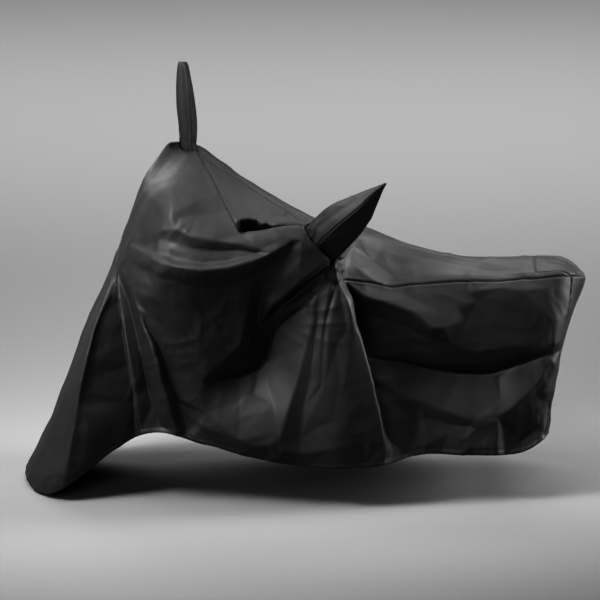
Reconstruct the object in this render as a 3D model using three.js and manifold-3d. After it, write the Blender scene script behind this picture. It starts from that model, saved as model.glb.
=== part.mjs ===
// Fitted cloth cover with two mirror pockets, coated polyester, in millimetres with Z up.
// The front of the cover is at -X, its left side at -Y. Its shell is lofted over sections from the
// left hem over the crown to the right hem. Sections, seams and folds are set out on one elevation
// sheet, ruled in squares, that leans back by LEAN_DEG: a mark there lies on the shell behind it.
import * as THREE from 'three';
import Module from 'manifold-3d';

const wasm = await Module();
wasm.setup();

// Cloth
const SHEET_MM = 2;
const GAP_MM = 0.3;
const COLOUR = 0x17181a;
const ROUGHNESS = 0.55;

// Elevation sheet: squares count along from the front and down from the top
const SQUARE_MM = 3.75;
const ALONG_ZERO = 305;
const DOWN_ZERO = 476;
const LEAN_DEG = 15;
const LEAN_SIN = Math.sin(THREE.MathUtils.degToRad(LEAN_DEG));
const LEAN_COS = Math.cos(THREE.MathUtils.degToRad(LEAN_DEG));

// Mesh of the shell: steps between two sections, and between two levels of a section
const STEPS_ALONG = 4;
const STEPS_UP = 3;
const MIN_FOLD_MM = 34;

// Levels of a section, from the hem to the crown. Each is [along, down, y in mm].
const LEVELS = ['hem', 'low', 'mid', 'waist', 'roll', 'chest', 'crown'];
const SECTIONS = [
  { name: 'nose', hem: [24, 471, 0], low: [50, 418, 0], mid: [80, 342, 0], waist: [103, 291, 0],
    roll: [120, 248, 5], chest: [144, 180, 80], crown: [169, 143, 190] },
  { name: 'front corner', hem: [54, 493, -285], low: [77, 430, -265], mid: [92, 345, -210],
    waist: [108, 298, -150], roll: [125, 250, -105], chest: [150, 190, -60], crown: [184, 142, 280],
    right: { out: 60, sunk: 6 } },
  { name: 'apron seam', hem: [142, 434, -330], low: [137, 395, -330], mid: [131, 350, -300],
    waist: [128, 308, -240], roll: [132, 256, -200], chest: [165, 190, -170], crown: [203, 148, 285],
    right: { out: 56, sunk: 12 } },
  { name: 'headlamp', hem: [205, 443, -360], low: [196, 410, -360], mid: [185, 365, -370],
    waist: [173, 310, -370], roll: [172, 264, -380], chest: [190, 200, -260], crown: [222, 162, 220],
    right: { out: 40, sunk: 26 } },
  { name: 'knee', hem: [250, 455, -370], low: [243, 415, -380], mid: [240, 372, -340],
    waist: [236, 320, -340], roll: [232, 266, -400], chest: [236, 222, -300], crown: [256, 186, 80],
    right: { out: 36, sunk: 40 } },
  { name: 'arm', hem: [298, 464, -390], low: [292, 415, -390], mid: [285, 375, -350],
    waist: [281, 320, -330], roll: [285, 256, -385], chest: [288, 233, -350], crown: [292, 208, -160],
    right: { out: 36, sunk: 46 } },
  { name: 'bar end', hem: [340, 467, -430], low: [338, 420, -420], mid: [336, 370, -400],
    waist: [335, 320, -370], roll: [332, 277, -345], chest: [326, 252, -330], crown: [322, 222, -235],
    right: { out: 36, sunk: 46 } },
  { name: 'side seam', hem: [385, 463, -395], low: [378, 410, -375], mid: [367, 355, -340],
    waist: [356, 312, -300], roll: [346, 279, -270], chest: [352, 255, -200], crown: [362, 228, -80] },
  { name: 'rider', hem: [422, 453, -370], low: [417, 410, -345], mid: [412, 365, -300],
    waist: [407, 320, -260], roll: [400, 286, -205], chest: [402, 264, -135], crown: [407, 244, -30] },
  { name: 'seat', hem: [470, 454, -360], low: [470, 412, -340], mid: [468, 368, -290],
    waist: [466, 325, -245], roll: [465, 282, -165], chest: [466, 270, -105], crown: [468, 258, -10] },
  { name: 'pillion', hem: [518, 452, -340], low: [521, 405, -320], mid: [520, 362, -275],
    waist: [520, 320, -225], roll: [520, 280, -150], chest: [522, 269, -95], crown: [525, 258, 0] },
  { name: 'rear corner', hem: [545, 435, -275], low: [551, 395, -250], mid: [556, 350, -215],
    waist: [561, 315, -175], roll: [566, 277, -120], chest: [562, 270, -78], crown: [557, 262, 0] },
  { name: 'tail', hem: [540, 424, 0], low: [549, 385, 0], mid: [559, 345, 0],
    waist: [572, 310, 0], roll: [584, 280, 0], chest: [580, 276, 0], crown: [575, 271, 0] },
];
// The right side is the left one turned over: its levels stand this far from the middle by comparison.
// Where the bar holds the crown off the middle, the right chest lies this share of the way from the
// crown to the roll, and from there out and sunk by the section's right, in mm.
const RIGHT_WIDTH = 0.94;
const RIGHT_CHEST_SHARE = 0.45;

// Folds of the left side. A fold follows its marks; looking along it, its left and right flanks are so
// wide in mm, and it stands proud by height, or is sunk where that is negative.
const LEFT_FOLDS = [
  { name: 'apron edge', marks: [[116, 258], [98, 320], [85, 375], [77, 430], [64, 488]],
    left: 60, right: 55, height: 22 },
  { name: 'apron hollow', marks: [[116, 290], [110, 335], [108, 380], [112, 430]],
    left: 45, right: 60, height: -22 },
  { name: 'apron ridge', marks: [[121, 268], [131, 310], [141, 360], [150, 400], [157, 436]],
    left: 40, right: 34, height: 26 },
  { name: 'behind apron', marks: [[146, 330], [160, 375], [176, 425]], left: 50, right: 34, height: -14 },
  { name: 'hood facet', marks: [[138, 214], [160, 190], [180, 156]], left: 50, right: 60, height: 12 },
  { name: 'hood crease', marks: [[164, 214], [183, 209], [204, 201], [220, 195]],
    left: 36, right: 36, height: -12 },
  { name: 'swag', marks: [[162, 219], [175, 228], [190, 234], [225, 241], [250, 241]],
    left: 50, right: 36, height: 14 },
  { name: 'roll', marks: [[128, 246], [143, 252], [161, 262], [178, 267], [204, 270], [230, 267],
    [256, 261],
      [273, 254], [293, 241]], left: 105, right: 34, height: 40 },
  { name: 'knee line', marks: [[138, 300], [150, 315], [163, 323], [180, 345], [203, 381]],
    left: 90, right: 34, height: 20 },
  { name: 'knee rim', marks: [[203, 382], [220, 378], [240, 375], [258, 369], [270, 352], [276, 335]],
    left: 34, right: 110, height: 24 },
  { name: 'knee hollow', marks: [[262, 283], [259, 310], [254, 335], [240, 362]],
    left: 62, right: 70, height: -58 },
  { name: 'under arm', marks: [[268, 308], [290, 290], [310, 273], [328, 261]],
    left: 34, right: 38, height: -48 },
  { name: 'arm', marks: [[270, 292], [295, 270], [318, 254], [334, 252]],
    left: 50, right: 36, height: 26 },
  { name: 'cone fold', marks: [[276, 338], [282, 325], [297, 314], [310, 301], [322, 284]],
    left: 34, right: 40, height: 16 },
  { name: 'cone ridge', marks: [[314, 300], [306, 345], [298, 375], [286, 415], [279, 440]],
    left: 45, right: 45, height: 24 },
  { name: 'side edge', marks: [[341, 276], [351, 298], [362, 340], [374, 388], [384, 440], [388, 462]],
    left: 34, right: 110, height: 30 },
  { name: 'behind edge', marks: [[356, 292], [366, 318], [376, 350], [385, 385], [392, 430]],
    left: 90, right: 40, height: -34 },
  { name: 'rear top roll', marks: [[348, 284], [370, 293], [390, 303], [416, 313]],
    left: 34, right: 36, height: 16 },
  { name: 'rear pleat', marks: [[416, 313], [436, 330], [455, 308], [468, 292]],
    left: 36, right: 36, height: 12 },
  { name: 'rear hollow', marks: [[372, 335], [400, 342], [440, 357], [475, 361], [510, 355], [532, 352]],
    left: 120, right: 36, height: -42 },
  { name: 'rear rim', marks: [[396, 368], [440, 378], [470, 381], [500, 377], [516, 372], [532, 366]],
    left: 36, right: 110, height: 26 },
  { name: 'rear facet', marks: [[538, 376], [520, 397], [503, 417], [496, 432], [494, 452]],
    left: 80, right: 50, height: 24 },
  { name: 'low fold', marks: [[372, 380], [400, 400], [420, 410], [440, 415], [465, 418]],
    left: 40, right: 36, height: 14 },
  { name: 'hem hollow', marks: [[380, 416], [390, 434], [404, 450]], left: 36, right: 34, height: -18 },
  { name: 'hem fold', marks: [[420, 450], [440, 442], [462, 438], [485, 420]],
    left: 34, right: 34, height: 12 },
  { name: 'shoulder band', marks: [[342, 256], [355, 265], [370, 278], [384, 288]],
    left: 36, right: 34, height: 18 },
  { name: 'seat hollow', marks: [[366, 246], [400, 254], [440, 262], [480, 267]],
    left: 36, right: 40, height: -14 },
  { name: 'dash hollow', marks: [[242, 225], [262, 226], [280, 226], [298, 225]],
    left: 34, right: 34, height: -36 },
  { name: 'dash lip', marks: [[240, 236], [256, 235], [273, 233], [291, 230], [303, 230]],
    left: 34, right: 40, height: 16 },
];
// Folds of the right side, plainer, on the same sheet seen from that side
const RIGHT_FOLDS = [
  { name: 'right roll', marks: [[150, 262], [200, 272], [260, 268], [320, 262]],
    left: 90, right: 45, height: 24 },
  { name: 'right knee', marks: [[150, 320], [200, 375], [250, 370], [290, 330]],
    left: 60, right: 70, height: 20 },
  { name: 'right drop', marks: [[345, 290], [352, 340], [362, 400], [370, 460]],
    left: 50, right: 60, height: 22 },
  { name: 'right hollow', marks: [[390, 340], [440, 352], [500, 352], [550, 345]],
    left: 80, right: 50, height: -26 },
  { name: 'right rim', marks: [[400, 385], [450, 392], [500, 385], [545, 368]],
    left: 45, right: 80, height: 16 },
  { name: 'right apron', marks: [[120, 270], [136, 330], [150, 400], [156, 432]],
    left: 45, right: 45, height: 22 },
];
// Folds fade out over this share of a section towards the crown, the nose and the tail, and over
// FOLD_END_MM past their last marks
const CROWN_FADE = 0.45;
const END_FADE = 1;
const FOLD_END_MM = 70;

// Seams on the left of the sheet
const APRON_SEAM = [[118, 252], [122, 300], [127, 330], [132, 365], [137, 395], [139, 415], [141, 440],
  [141, 520]];
const DASH_SEAM = [[193, 146], [202, 161], [211, 176], [220, 192], [228, 209], [240, 232], [256, 233],
  [273, 230], [289, 227], [305, 226]];
const BAR_SEAM = [[193, 146], [204, 157], [220, 169], [239, 180], [262, 196], [284, 210], [305, 226]];
const SHOULDER_SEAM = [[305, 226], [313, 243], [326, 252], [338, 258], [342, 280]];
const SEAT_SEAM = [[342, 280], [370, 283], [392, 287], [420, 284], [450, 282], [500, 281], [540, 278],
  [567, 276], [620, 276]];
const SIDE_SEAM = [[342, 280], [351, 298], [356, 324], [362, 340], [368, 364], [374, 388], [380, 416],
  [384, 440], [388, 500]];
// The tail panel seen from behind: half its width at a height, in mm
const TAIL_EDGE = [
  { half: 118, z: 1000 },
  { half: 118, z: 800 },
  { half: 160, z: 690 },
  { half: 200, z: 540 },
  { half: 232, z: 380 },
  { half: 262, z: 60 },
];
const TAIL_FROM_X = 860;
// Seams on the right of the sheet, seen from that side
const RIGHT_TOP_SEAM = [[168, 175], [200, 205], [240, 232], [290, 262], [345, 281]];

// Mirror pockets: rings from the mouth to the tip, as the middle [along, down, y], half the width
// across the pocket, half the depth towards the side, and how far the near seam sits off the middle
const LEFT_POCKET = {
  across: [0.64, 0.77],
  rings: [
    { middle: [314, 256, -275], half: 60, deep: 44, seam: -4 },
    { middle: [320, 245, -325], half: 80, deep: 56, seam: -6 },
    { middle: [333, 230, -375], half: 80, deep: 56, seam: -6 },
    { middle: [347, 218, -408], half: 70, deep: 48, seam: -5 },
    { middle: [360, 207, -430], half: 53, deep: 37, seam: -5 },
    { middle: [371, 197, -448], half: 34, deep: 24, seam: -5 },
    { middle: [379, 190, -460], half: 15, deep: 11, seam: -2 },
    { middle: [384, 186, -468], half: 3, deep: 2.6, seam: 0 },
  ],
};
const RIGHT_POCKET = {
  across: [1, 0.06],
  rings: [
    { middle: [189, 162, 236], half: 37, deep: 56, seam: 12 },
    { middle: [188, 142, 238], half: 35, deep: 60, seam: 13 },
    { middle: [187.5, 126, 242], half: 35, deep: 64, seam: 14 },
    { middle: [186, 108, 246], half: 38, deep: 62, seam: 14 },
    { middle: [184.5, 90, 250], half: 35, deep: 54, seam: 14 },
    { middle: [183.5, 76, 252], half: 27, deep: 42, seam: 12 },
    { middle: [183, 66, 254], half: 18, deep: 25, seam: 6 },
    { middle: [183, 60, 255], half: 4, deep: 5, seam: 0 },
  ],
};
const POCKET_ARC_STEPS = 6;
const POCKET_STEPS = 1;

const lerp = (a, b, t) => a + (b - a) * t;
const mix = (a, b, t) => a.clone().lerp(b, t);
const smooth = (t) => {
  const s = Math.min(1, Math.max(0, t));
  return s * s * (3 - 2 * s);
};

// A point of the sheet at depth y
function onSheet([along, down, y]) {
  const up = (DOWN_ZERO - down) * SQUARE_MM;
  return new THREE.Vector3((along - ALONG_ZERO) * SQUARE_MM, y, (up - y * LEAN_SIN) / LEAN_COS);
}

// Where a point of space is on the sheet, in mm along and up; side is 1 for the left and -1 for the right
const sheetMark = (p, side) => [p.x, p.z * LEAN_COS + side * p.y * LEAN_SIN];
const markMM = ([along, down]) => [(along - ALONG_ZERO) * SQUARE_MM, (DOWN_ZERO - down) * SQUARE_MM];

// Control net: each section runs from the left hem over the crown to the right hem
function controlNet() {
  const last = SECTIONS.length - 1;
  return SECTIONS.map((section, i) => {
    const left = LEVELS.map((level) => onSheet(section[level]));
    const right = left.slice(0, -1).map((p, k) => {
      if (i === 0 || i === last) {
        return p.clone();
      }
      return new THREE.Vector3(p.x, -p.y * RIGHT_WIDTH, p.z);
    });
    if (section.right) {
      const { out, sunk } = section.right;
      right[5] = mix(left[6], right[4], RIGHT_CHEST_SHARE).add(new THREE.Vector3(0, out, -sunk));
    }
    return [...left, ...right.reverse()];
  });
}

const NET = controlNet();
const ROWS = NET[0].length;
const CROWN_ROW = LEVELS.length - 1;

function netPoint(i, k) {
  if (i < 0) {
    return netPoint(-i, ROWS - 1 - k);
  }
  if (i >= NET.length) {
    return netPoint(2 * (NET.length - 1) - i, ROWS - 1 - k);
  }
  if (k < 0) {
    return netPoint(i, 0).clone().multiplyScalar(2).sub(netPoint(i, 1));
  }
  if (k >= ROWS) {
    return netPoint(i, ROWS - 1).clone().multiplyScalar(2).sub(netPoint(i, ROWS - 2));
  }
  return NET[i][k];
}

// Weights of the four control points round a place between the second and the third
function splineWeights(t) {
  return [
    0.5 * (-t + 2 * t * t - t * t * t),
    0.5 * (2 - 5 * t * t + 3 * t * t * t),
    0.5 * (t + 4 * t * t - 3 * t * t * t),
    0.5 * (-t * t + t * t * t),
  ];
}

function smoothShell(u, w) {
  const i = Math.min(NET.length - 2, Math.max(0, Math.floor(u)));
  const k = Math.min(ROWS - 2, Math.max(0, Math.floor(w)));
  const along = splineWeights(u - i);
  const up = splineWeights(w - k);
  const p = new THREE.Vector3();
  for (let a = 0; a < 4; a++) {
    for (let b = 0; b < 4; b++) {
      p.addScaledVector(netPoint(i + a - 1, k + b - 1), along[a] * up[b]);
    }
  }
  return p;
}

function normalOf(surface, u, w) {
  const step = 0.02;
  const u0 = Math.max(0, u - step);
  const u1 = Math.min(NET.length - 1, u + step);
  const w0 = Math.max(0, w - step);
  const w1 = Math.min(ROWS - 1, w + step);
  const along = surface(u1, w).sub(surface(u0, w));
  const up = surface(u, w1).sub(surface(u, w0));
  return along.cross(up).normalize();
}

// At the nose and the tail both sides share one line, so the normal there is the mean of the two
function shellNormal(surface, u, w) {
  const atEnd = u === 0 || u === NET.length - 1;
  const n = normalOf(surface, u, w);
  if (atEnd) {
    n.add(normalOf(surface, u, ROWS - 1 - w)).normalize();
  }
  return n;
}

// Height of one fold at a mark: a rounded ridge with unlike flanks that fades past its ends
function foldHeight(fold, [a, b]) {
  let nearest = Infinity;
  let signed = 0;
  let past = 0;
  const marks = fold.marks.map(markMM);
  for (let i = 0; i + 1 < marks.length; i++) {
    const [ax, ay] = marks[i];
    const dx = marks[i + 1][0] - ax;
    const dy = marks[i + 1][1] - ay;
    const long = Math.hypot(dx, dy);
    const share = ((a - ax) * dx + (b - ay) * dy) / (long * long);
    const held = Math.min(1, Math.max(0, share));
    const away = Math.hypot(a - ax - dx * held, b - ay - dy * held);
    if (away < nearest) {
      nearest = away;
      signed = (dx * (b - ay) - dy * (a - ax)) / long;
      const first = i === 0 ? Math.max(0, -share) * long : 0;
      const end = i + 2 === marks.length ? Math.max(0, share - 1) * long : 0;
      past = first + end;
    }
  }
  const width = Math.max(MIN_FOLD_MM, signed > 0 ? fold.left : fold.right);
  const across = Math.min(1, Math.abs(nearest) / width);
  const fade = 1 - smooth(past / FOLD_END_MM);
  return fold.height * (1 - smooth(across)) * fade;
}

function foldedShell(u, w) {
  const p = smoothShell(u, w);
  const ends = smooth(u / END_FADE) * smooth((NET.length - 1 - u) / END_FADE);
  const left = smooth((CROWN_ROW - w) / CROWN_FADE) * ends;
  const right = smooth((w - CROWN_ROW) / CROWN_FADE) * ends;
  let height = 0;
  if (left > 0) {
    const mark = sheetMark(p, 1);
    height += left * LEFT_FOLDS.reduce((sum, fold) => sum + foldHeight(fold, mark), 0);
  }
  if (right > 0) {
    const mark = sheetMark(p, -1);
    height += right * RIGHT_FOLDS.reduce((sum, fold) => sum + foldHeight(fold, mark), 0);
  }
  return p.addScaledVector(normalOf(smoothShell, u, w), height);
}

// Solids. Points are kept to this many places in a mm, so that shared edges agree.
const PLACES_PER_MM = 512;
function solidFrom(points, faces) {
  const used = new Map();
  const vertProperties = [];
  const index = points.map((p) => {
    const place = p.toArray().map((v) => Math.round(v * PLACES_PER_MM) / PLACES_PER_MM);
    const key = place.join();
    if (!used.has(key)) {
      used.set(key, used.size);
      vertProperties.push(...place);
    }
    return used.get(key);
  });
  const triVerts = [];
  for (const face of faces) {
    const [a, b, c] = face.map((v) => index[v]);
    if (a !== b && b !== c && c !== a) {
      triVerts.push(a, b, c);
    }
  }
  const mesh = new wasm.Mesh({
    numProp: 3,
    vertProperties: new Float32Array(vertProperties),
    triVerts: new Uint32Array(triVerts),
  });
  return new wasm.Manifold(mesh);
}

// A grid of outer points and one of inner points, closed round its rim
function patchSolid(outer, inner) {
  const rows = outer.length;
  const cols = outer[0].length;
  const points = [...outer.flat(), ...inner.flat()];
  const half = rows * cols;
  const faces = [];
  const at = (r, c, layer) => layer * half + r * cols + c;
  const quad = (a, b, c, d) => {
    const diagonal = points[a].distanceTo(points[c]) <= points[b].distanceTo(points[d]);
    faces.push(...(diagonal ? [[a, b, c], [a, c, d]] : [[a, b, d], [b, c, d]]));
  };
  for (let r = 0; r + 1 < rows; r++) {
    for (let c = 0; c + 1 < cols; c++) {
      quad(at(r, c, 0), at(r + 1, c, 0), at(r + 1, c + 1, 0), at(r, c + 1, 0));
      const [i, j, k, l] = [at(r, c, 1), at(r, c + 1, 1), at(r + 1, c + 1, 1), at(r + 1, c, 1)];
      quad(i, j, k, l);
    }
  }
  for (let r = 0; r + 1 < rows; r++) {
    quad(at(r, 0, 0), at(r, 0, 1), at(r + 1, 0, 1), at(r + 1, 0, 0));
    quad(at(r, cols - 1, 0), at(r + 1, cols - 1, 0), at(r + 1, cols - 1, 1), at(r, cols - 1, 1));
  }
  for (let c = 0; c + 1 < cols; c++) {
    quad(at(0, c, 0), at(0, c + 1, 0), at(0, c + 1, 1), at(0, c, 1));
    quad(at(rows - 1, c, 0), at(rows - 1, c, 1), at(rows - 1, c + 1, 1), at(rows - 1, c + 1, 0));
  }
  return solidFrom(points, faces);
}

// One side of the shell, from its hem to the crown
function sideSolid(fromRow, toRow) {
  const outer = [];
  const inner = [];
  for (let i = 0; i <= (NET.length - 1) * STEPS_ALONG; i++) {
    const u = i / STEPS_ALONG;
    const outerRow = [];
    const innerRow = [];
    for (let k = fromRow * STEPS_UP; k <= toRow * STEPS_UP; k++) {
      const w = k / STEPS_UP;
      const p = foldedShell(u, w);
      outerRow.push(p);
      innerRow.push(p.clone().addScaledVector(shellNormal(foldedShell, u, w), -SHEET_MM));
    }
    outer.push(outerRow);
    inner.push(innerRow);
  }
  return patchSolid(outer, inner);
}

// A block through an outline: place gives the point of a mark at either end of its reach
const REACH = 900;
const behindSheet = (side) => ([x, up], end) => {
  const y = end * REACH;
  return new THREE.Vector3(x, y, (up - side * y * LEAN_SIN) / LEAN_COS);
};
const behindTail = ([y, z], end) => new THREE.Vector3(end < 0 ? TAIL_FROM_X + REACH : TAIL_FROM_X, y, z);

function block(outline, place) {
  let marks = outline;
  const area = marks.reduce((sum, m, i) => {
    const n = marks[(i + 1) % marks.length];
    return sum + m[0] * n[1] - n[0] * m[1];
  }, 0);
  if (area < 0) {
    marks = marks.reverse();
  }
  const flat = marks.map(([x, y]) => new THREE.Vector2(x, y));
  const caps = THREE.ShapeUtils.triangulateShape(flat, []);
  const count = marks.length;
  const ends = [-1, 1].map((end) => marks.map((mark) => place(mark, end)));
  const faces = [];
  caps.forEach(([a, b, c]) => faces.push([a, b, c], [a + count, c + count, b + count]));
  for (let i = 0; i < count; i++) {
    const j = (i + 1) % count;
    faces.push([i, i + count, j + count], [i, j + count, j]);
  }
  const turned = faces.map(([a, b, c]) => [a, c, b]);
  return facingOut(solidFrom(ends.flat(), faces), () => solidFrom(ends.flat(), turned));
}

const sheetBlock = (outline, side) => block(outline.map(markMM), behindSheet(side));

// The slot of a seam, GAP_MM wide, run on a little past both ends
const SLOT_OVERRUN = 0.7;
function slot(line, place) {
  const marks = line.map(([x, y]) => new THREE.Vector2(x, y));
  const last = marks.length - 1;
  const first = marks[0].clone().sub(marks[1]).setLength(SLOT_OVERRUN).add(marks[0]);
  marks[last] = marks[last].clone().sub(marks[last - 1]).setLength(SLOT_OVERRUN).add(marks[last]);
  marks[0] = first;
  const offsets = marks.map((mark, i) => {
    const way = marks[Math.min(last, i + 1)].clone().sub(marks[Math.max(0, i - 1)]).normalize();
    return new THREE.Vector2(-way.y, way.x).multiplyScalar(GAP_MM * 0.54);
  });
  const one = marks.map((mark, i) => mark.clone().add(offsets[i]));
  const other = marks.map((mark, i) => mark.clone().sub(offsets[i]));
  return block([...one, ...other.reverse()].map((mark) => mark.toArray()), place);
}

// Panels, cut in turn from what is left of each side
const HIGH = 20;
const LOW = 560;
const FRONT = -40;
const BACK = 680;
const APRON_AREA = [[118, 252], [FRONT, 252], [FRONT, LOW], [141, LOW],
  ...APRON_SEAM.slice(1, -1).reverse()];
const DASH_AREA = [...DASH_SEAM, ...BAR_SEAM.slice(1, -1).reverse()];
const TOP_AREA = [...BAR_SEAM, ...SHOULDER_SEAM.slice(1), ...SEAT_SEAM.slice(1, -1), [BACK, 276],
  [BACK, HIGH],
  [188, HIGH], [188, 140]];
const RIGHT_TOP_AREA = [...RIGHT_TOP_SEAM, ...SEAT_SEAM.slice(1, -1), [BACK, 276], [BACK, HIGH],
  [150, HIGH],
  [150, 160]];
const TAIL_SEAMS = [-1, 1].map((side) => TAIL_EDGE.map(({ half, z }) => [side * half, z]));
const TAIL_AREA = [...TAIL_SEAMS[0], ...TAIL_SEAMS[1].toReversed()];
const REAR_AREA = [...SIDE_SEAM, [388, LOW], [BACK, LOW], [BACK, 276],
  ...SEAT_SEAM.slice(1, -1).reverse()];

function cutSide(solid, side, areas, seams) {
  const slots = seams.map((seam) => slot(seam.map(markMM), behindSheet(side)))
    .concat(TAIL_SEAMS.map((seam) => slot(seam, behindTail)))
    .reduce((a, b) => a.add(b));
  let rest = solid;
  const pieces = {};
  for (const [name, area] of Object.entries(areas)) {
    pieces[name] = rest.intersect(area).subtract(slots);
    rest = rest.subtract(area);
  }
  pieces.side_front = rest.subtract(slots);
  return pieces;
}

// Pockets
function pocketGrid(pocket, arc, inset) {
  const { across, rings } = pocket;
  const wide = new THREE.Vector3(across[0], 0, -across[1] / LEAN_COS).normalize();
  const deep = new THREE.Vector3(0, LEAN_COS, -LEAN_SIN);
  const grid = [];
  for (let i = 0; i <= (rings.length - 1) * POCKET_STEPS; i++) {
    const t = i / POCKET_STEPS;
    const r = Math.min(rings.length - 2, Math.floor(t));
    const share = t - r;
    const [a, b] = [rings[r], rings[r + 1]];
    const middle = mix(onSheet(a.middle), onSheet(b.middle), share);
    const half = Math.max(0.8, lerp(a.half, b.half, share) - inset);
    const depth = Math.max(0.8, lerp(a.deep, b.deep, share) - inset);
    const seam = lerp(a.seam, b.seam, share);
    grid.push(arc.map((angle) => {
      const sideways = Math.cos(angle) * half;
      const inward = Math.sin(angle) * depth;
      const toSeam = seam * Math.abs(Math.sin(angle)) ** 2;
      return middle.clone().addScaledVector(wide, sideways + toSeam).addScaledVector(deep, inward);
    }));
  }
  return grid;
}

const arcFrom = (from, to, steps) => Array.from({ length: steps + 1 }, (_, k) => lerp(from, to,
  k / steps));
const SEAM_GAP_ANGLE = 0.006;

// Half a pocket: the angle runs over pi from the seam on one edge to the seam on the other
function pocketHalf(pocket, from) {
  const arc = arcFrom(from + SEAM_GAP_ANGLE, from + Math.PI - SEAM_GAP_ANGLE, POCKET_ARC_STEPS);
  const outer = pocketGrid(pocket, arc, 0);
  const inner = pocketGrid(pocket, arc, SHEET_MM);
  return facingOut(patchSolid(outer, inner), () => patchSolid(inner, outer));
}

function facingOut(solid, other) {
  return volumeOf(solid) > 0 ? solid : other();
}

function volumeOf(solid) {
  const { vertProperties: v, triVerts: t, numProp } = solid.getMesh();
  let volume = 0;
  for (let i = 0; i < t.length; i += 3) {
    const [a, b, c] = [t[i], t[i + 1], t[i + 2]].map((k) =>
      new THREE.Vector3(v[k * numProp], v[k * numProp + 1], v[k * numProp + 2]));
    volume += a.dot(b.cross(c)) / 6;
  }
  return volume;
}

// The whole of a pocket with its inside, a little oversize, to cut its mouth in the panels
function pocketFilled(pocket) {
  const arc = arcFrom(0, Math.PI * 2, POCKET_ARC_STEPS * 2).slice(0, -1);
  const grid = pocketGrid(pocket, arc, -GAP_MM * 1.6);
  const points = grid.flat();
  const count = arc.length;
  const faces = [];
  for (let r = 0; r + 1 < grid.length; r++) {
    for (let k = 0; k < count; k++) {
      const [a, b] = [r * count + k, r * count + ((k + 1) % count)];
      faces.push([a, b, b + count], [a, b + count, a + count]);
    }
  }
  const tip = (grid.length - 1) * count;
  for (let k = 1; k + 1 < count; k++) {
    faces.push([0, k + 1, k], [tip, tip + k, tip + k + 1]);
  }
  const turned = faces.map(([a, b, c]) => [a, c, b]);
  return facingOut(solidFrom(points, faces), () => solidFrom(points, turned));
}

// The largest body of a solid, without crumbs that a cut has left
function largestBody(solid) {
  const { vertProperties: v, triVerts: t, numProp } = solid.getMesh();
  const root = Array.from({ length: v.length / numProp }, (_, i) => i);
  const find = (i) => {
    let r = i;
    while (root[r] !== r) {
      root[r] = root[root[r]];
      r = root[r];
    }
    return r;
  };
  for (let i = 0; i < t.length; i += 3) {
    root[find(t[i + 1])] = find(t[i]);
    root[find(t[i + 2])] = find(t[i]);
  }
  const counts = new Map();
  for (let i = 0; i < t.length; i += 3) {
    const body = find(t[i]);
    counts.set(body, (counts.get(body) ?? 0) + 1);
  }
  const [kept] = [...counts].sort((a, b) => b[1] - a[1])[0];
  const index = [];
  for (let i = 0; i < t.length; i += 3) {
    if (find(t[i]) === kept) {
      index.push(t[i], t[i + 1], t[i + 2]);
    }
  }
  const geometry = new THREE.BufferGeometry();
  const positions = new Float32Array((v.length / numProp) * 3);
  for (let i = 0; i < v.length / numProp; i++) {
    positions.set([v[i * numProp], v[i * numProp + 1], v[i * numProp + 2]], i * 3);
  }
  geometry.setAttribute('position', new THREE.BufferAttribute(positions, 3));
  geometry.setIndex(index);
  return geometry.toNonIndexed();
}

const leftShell = sideSolid(0, CROWN_ROW);
const rightShell = sideSolid(CROWN_ROW, ROWS - 1);
const mouths = pocketFilled(LEFT_POCKET).add(pocketFilled(RIGHT_POCKET));

const tailBlock = block(TAIL_AREA, behindTail);
const left = cutSide(
  leftShell,
  1,
  {
    apron: sheetBlock(APRON_AREA, 1),
    dash: sheetBlock(DASH_AREA, 1),
    top: sheetBlock(TOP_AREA, 1),
    tail: tailBlock,
    side_rear: sheetBlock(REAR_AREA, 1),
  },
  [APRON_SEAM, DASH_SEAM, BAR_SEAM, SHOULDER_SEAM, SEAT_SEAM, SIDE_SEAM],
);
const right = cutSide(
  rightShell,
  -1,
  {
    apron: sheetBlock(APRON_AREA, -1),
    top: sheetBlock(RIGHT_TOP_AREA, -1),
    tail: tailBlock,
    side_rear: sheetBlock(REAR_AREA, -1),
  },
  [APRON_SEAM, RIGHT_TOP_SEAM, SEAT_SEAM, SIDE_SEAM],
);

const SOLIDS = {
  apron: left.apron.add(right.apron),
  dash: left.dash,
  top: left.top.add(right.top),
  tail: left.tail.add(right.tail),
  side_front_left: left.side_front,
  side_front_right: right.side_front,
  side_rear_left: left.side_rear,
  side_rear_right: right.side_rear,
};

const cover = new THREE.Group();
cover.name = 'cover';

function addPiece(name, solid) {
  const material = new THREE.MeshStandardMaterial({ color: COLOUR, roughness: ROUGHNESS, metalness: 0 });
  material.name = 'coated_cloth';
  const mesh = new THREE.Mesh(largestBody(solid), material);
  mesh.name = name;
  cover.add(mesh);
}

for (const [name, solid] of Object.entries(SOLIDS)) {
  addPiece(name, solid.subtract(mouths));
}
addPiece('mirror_pocket_left_upper', pocketHalf(LEFT_POCKET, Math.PI / 2));
addPiece('mirror_pocket_left_lower', pocketHalf(LEFT_POCKET, -Math.PI / 2));
addPiece('mirror_pocket_right_front', pocketHalf(RIGHT_POCKET, Math.PI / 2));
addPiece('mirror_pocket_right_rear', pocketHalf(RIGHT_POCKET, -Math.PI / 2));

// The origin is the middle of the cover's box, on the floor
const box = new THREE.Box3().setFromObject(cover);
const middle = box.getCenter(new THREE.Vector3());
cover.position.set(-middle.x, -middle.y, -box.min.z);

export default cover;
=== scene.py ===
"""A fitted cloth cover with two mirror pockets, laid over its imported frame.

The shell is lofted over the same sections as the solids, on a much finer grid, then folded, creased and
cut into panels along its seams. Marks on the elevation sheet count squares along from the front and down
from the top; the sheet leans back by LEAN_DEG.
"""
import math

import bmesh
import bpy
import numpy as np
from bpy.props import FloatProperty, FloatVectorProperty, PointerProperty
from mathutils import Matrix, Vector
from mathutils.geometry import delaunay_2d_cdt


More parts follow.
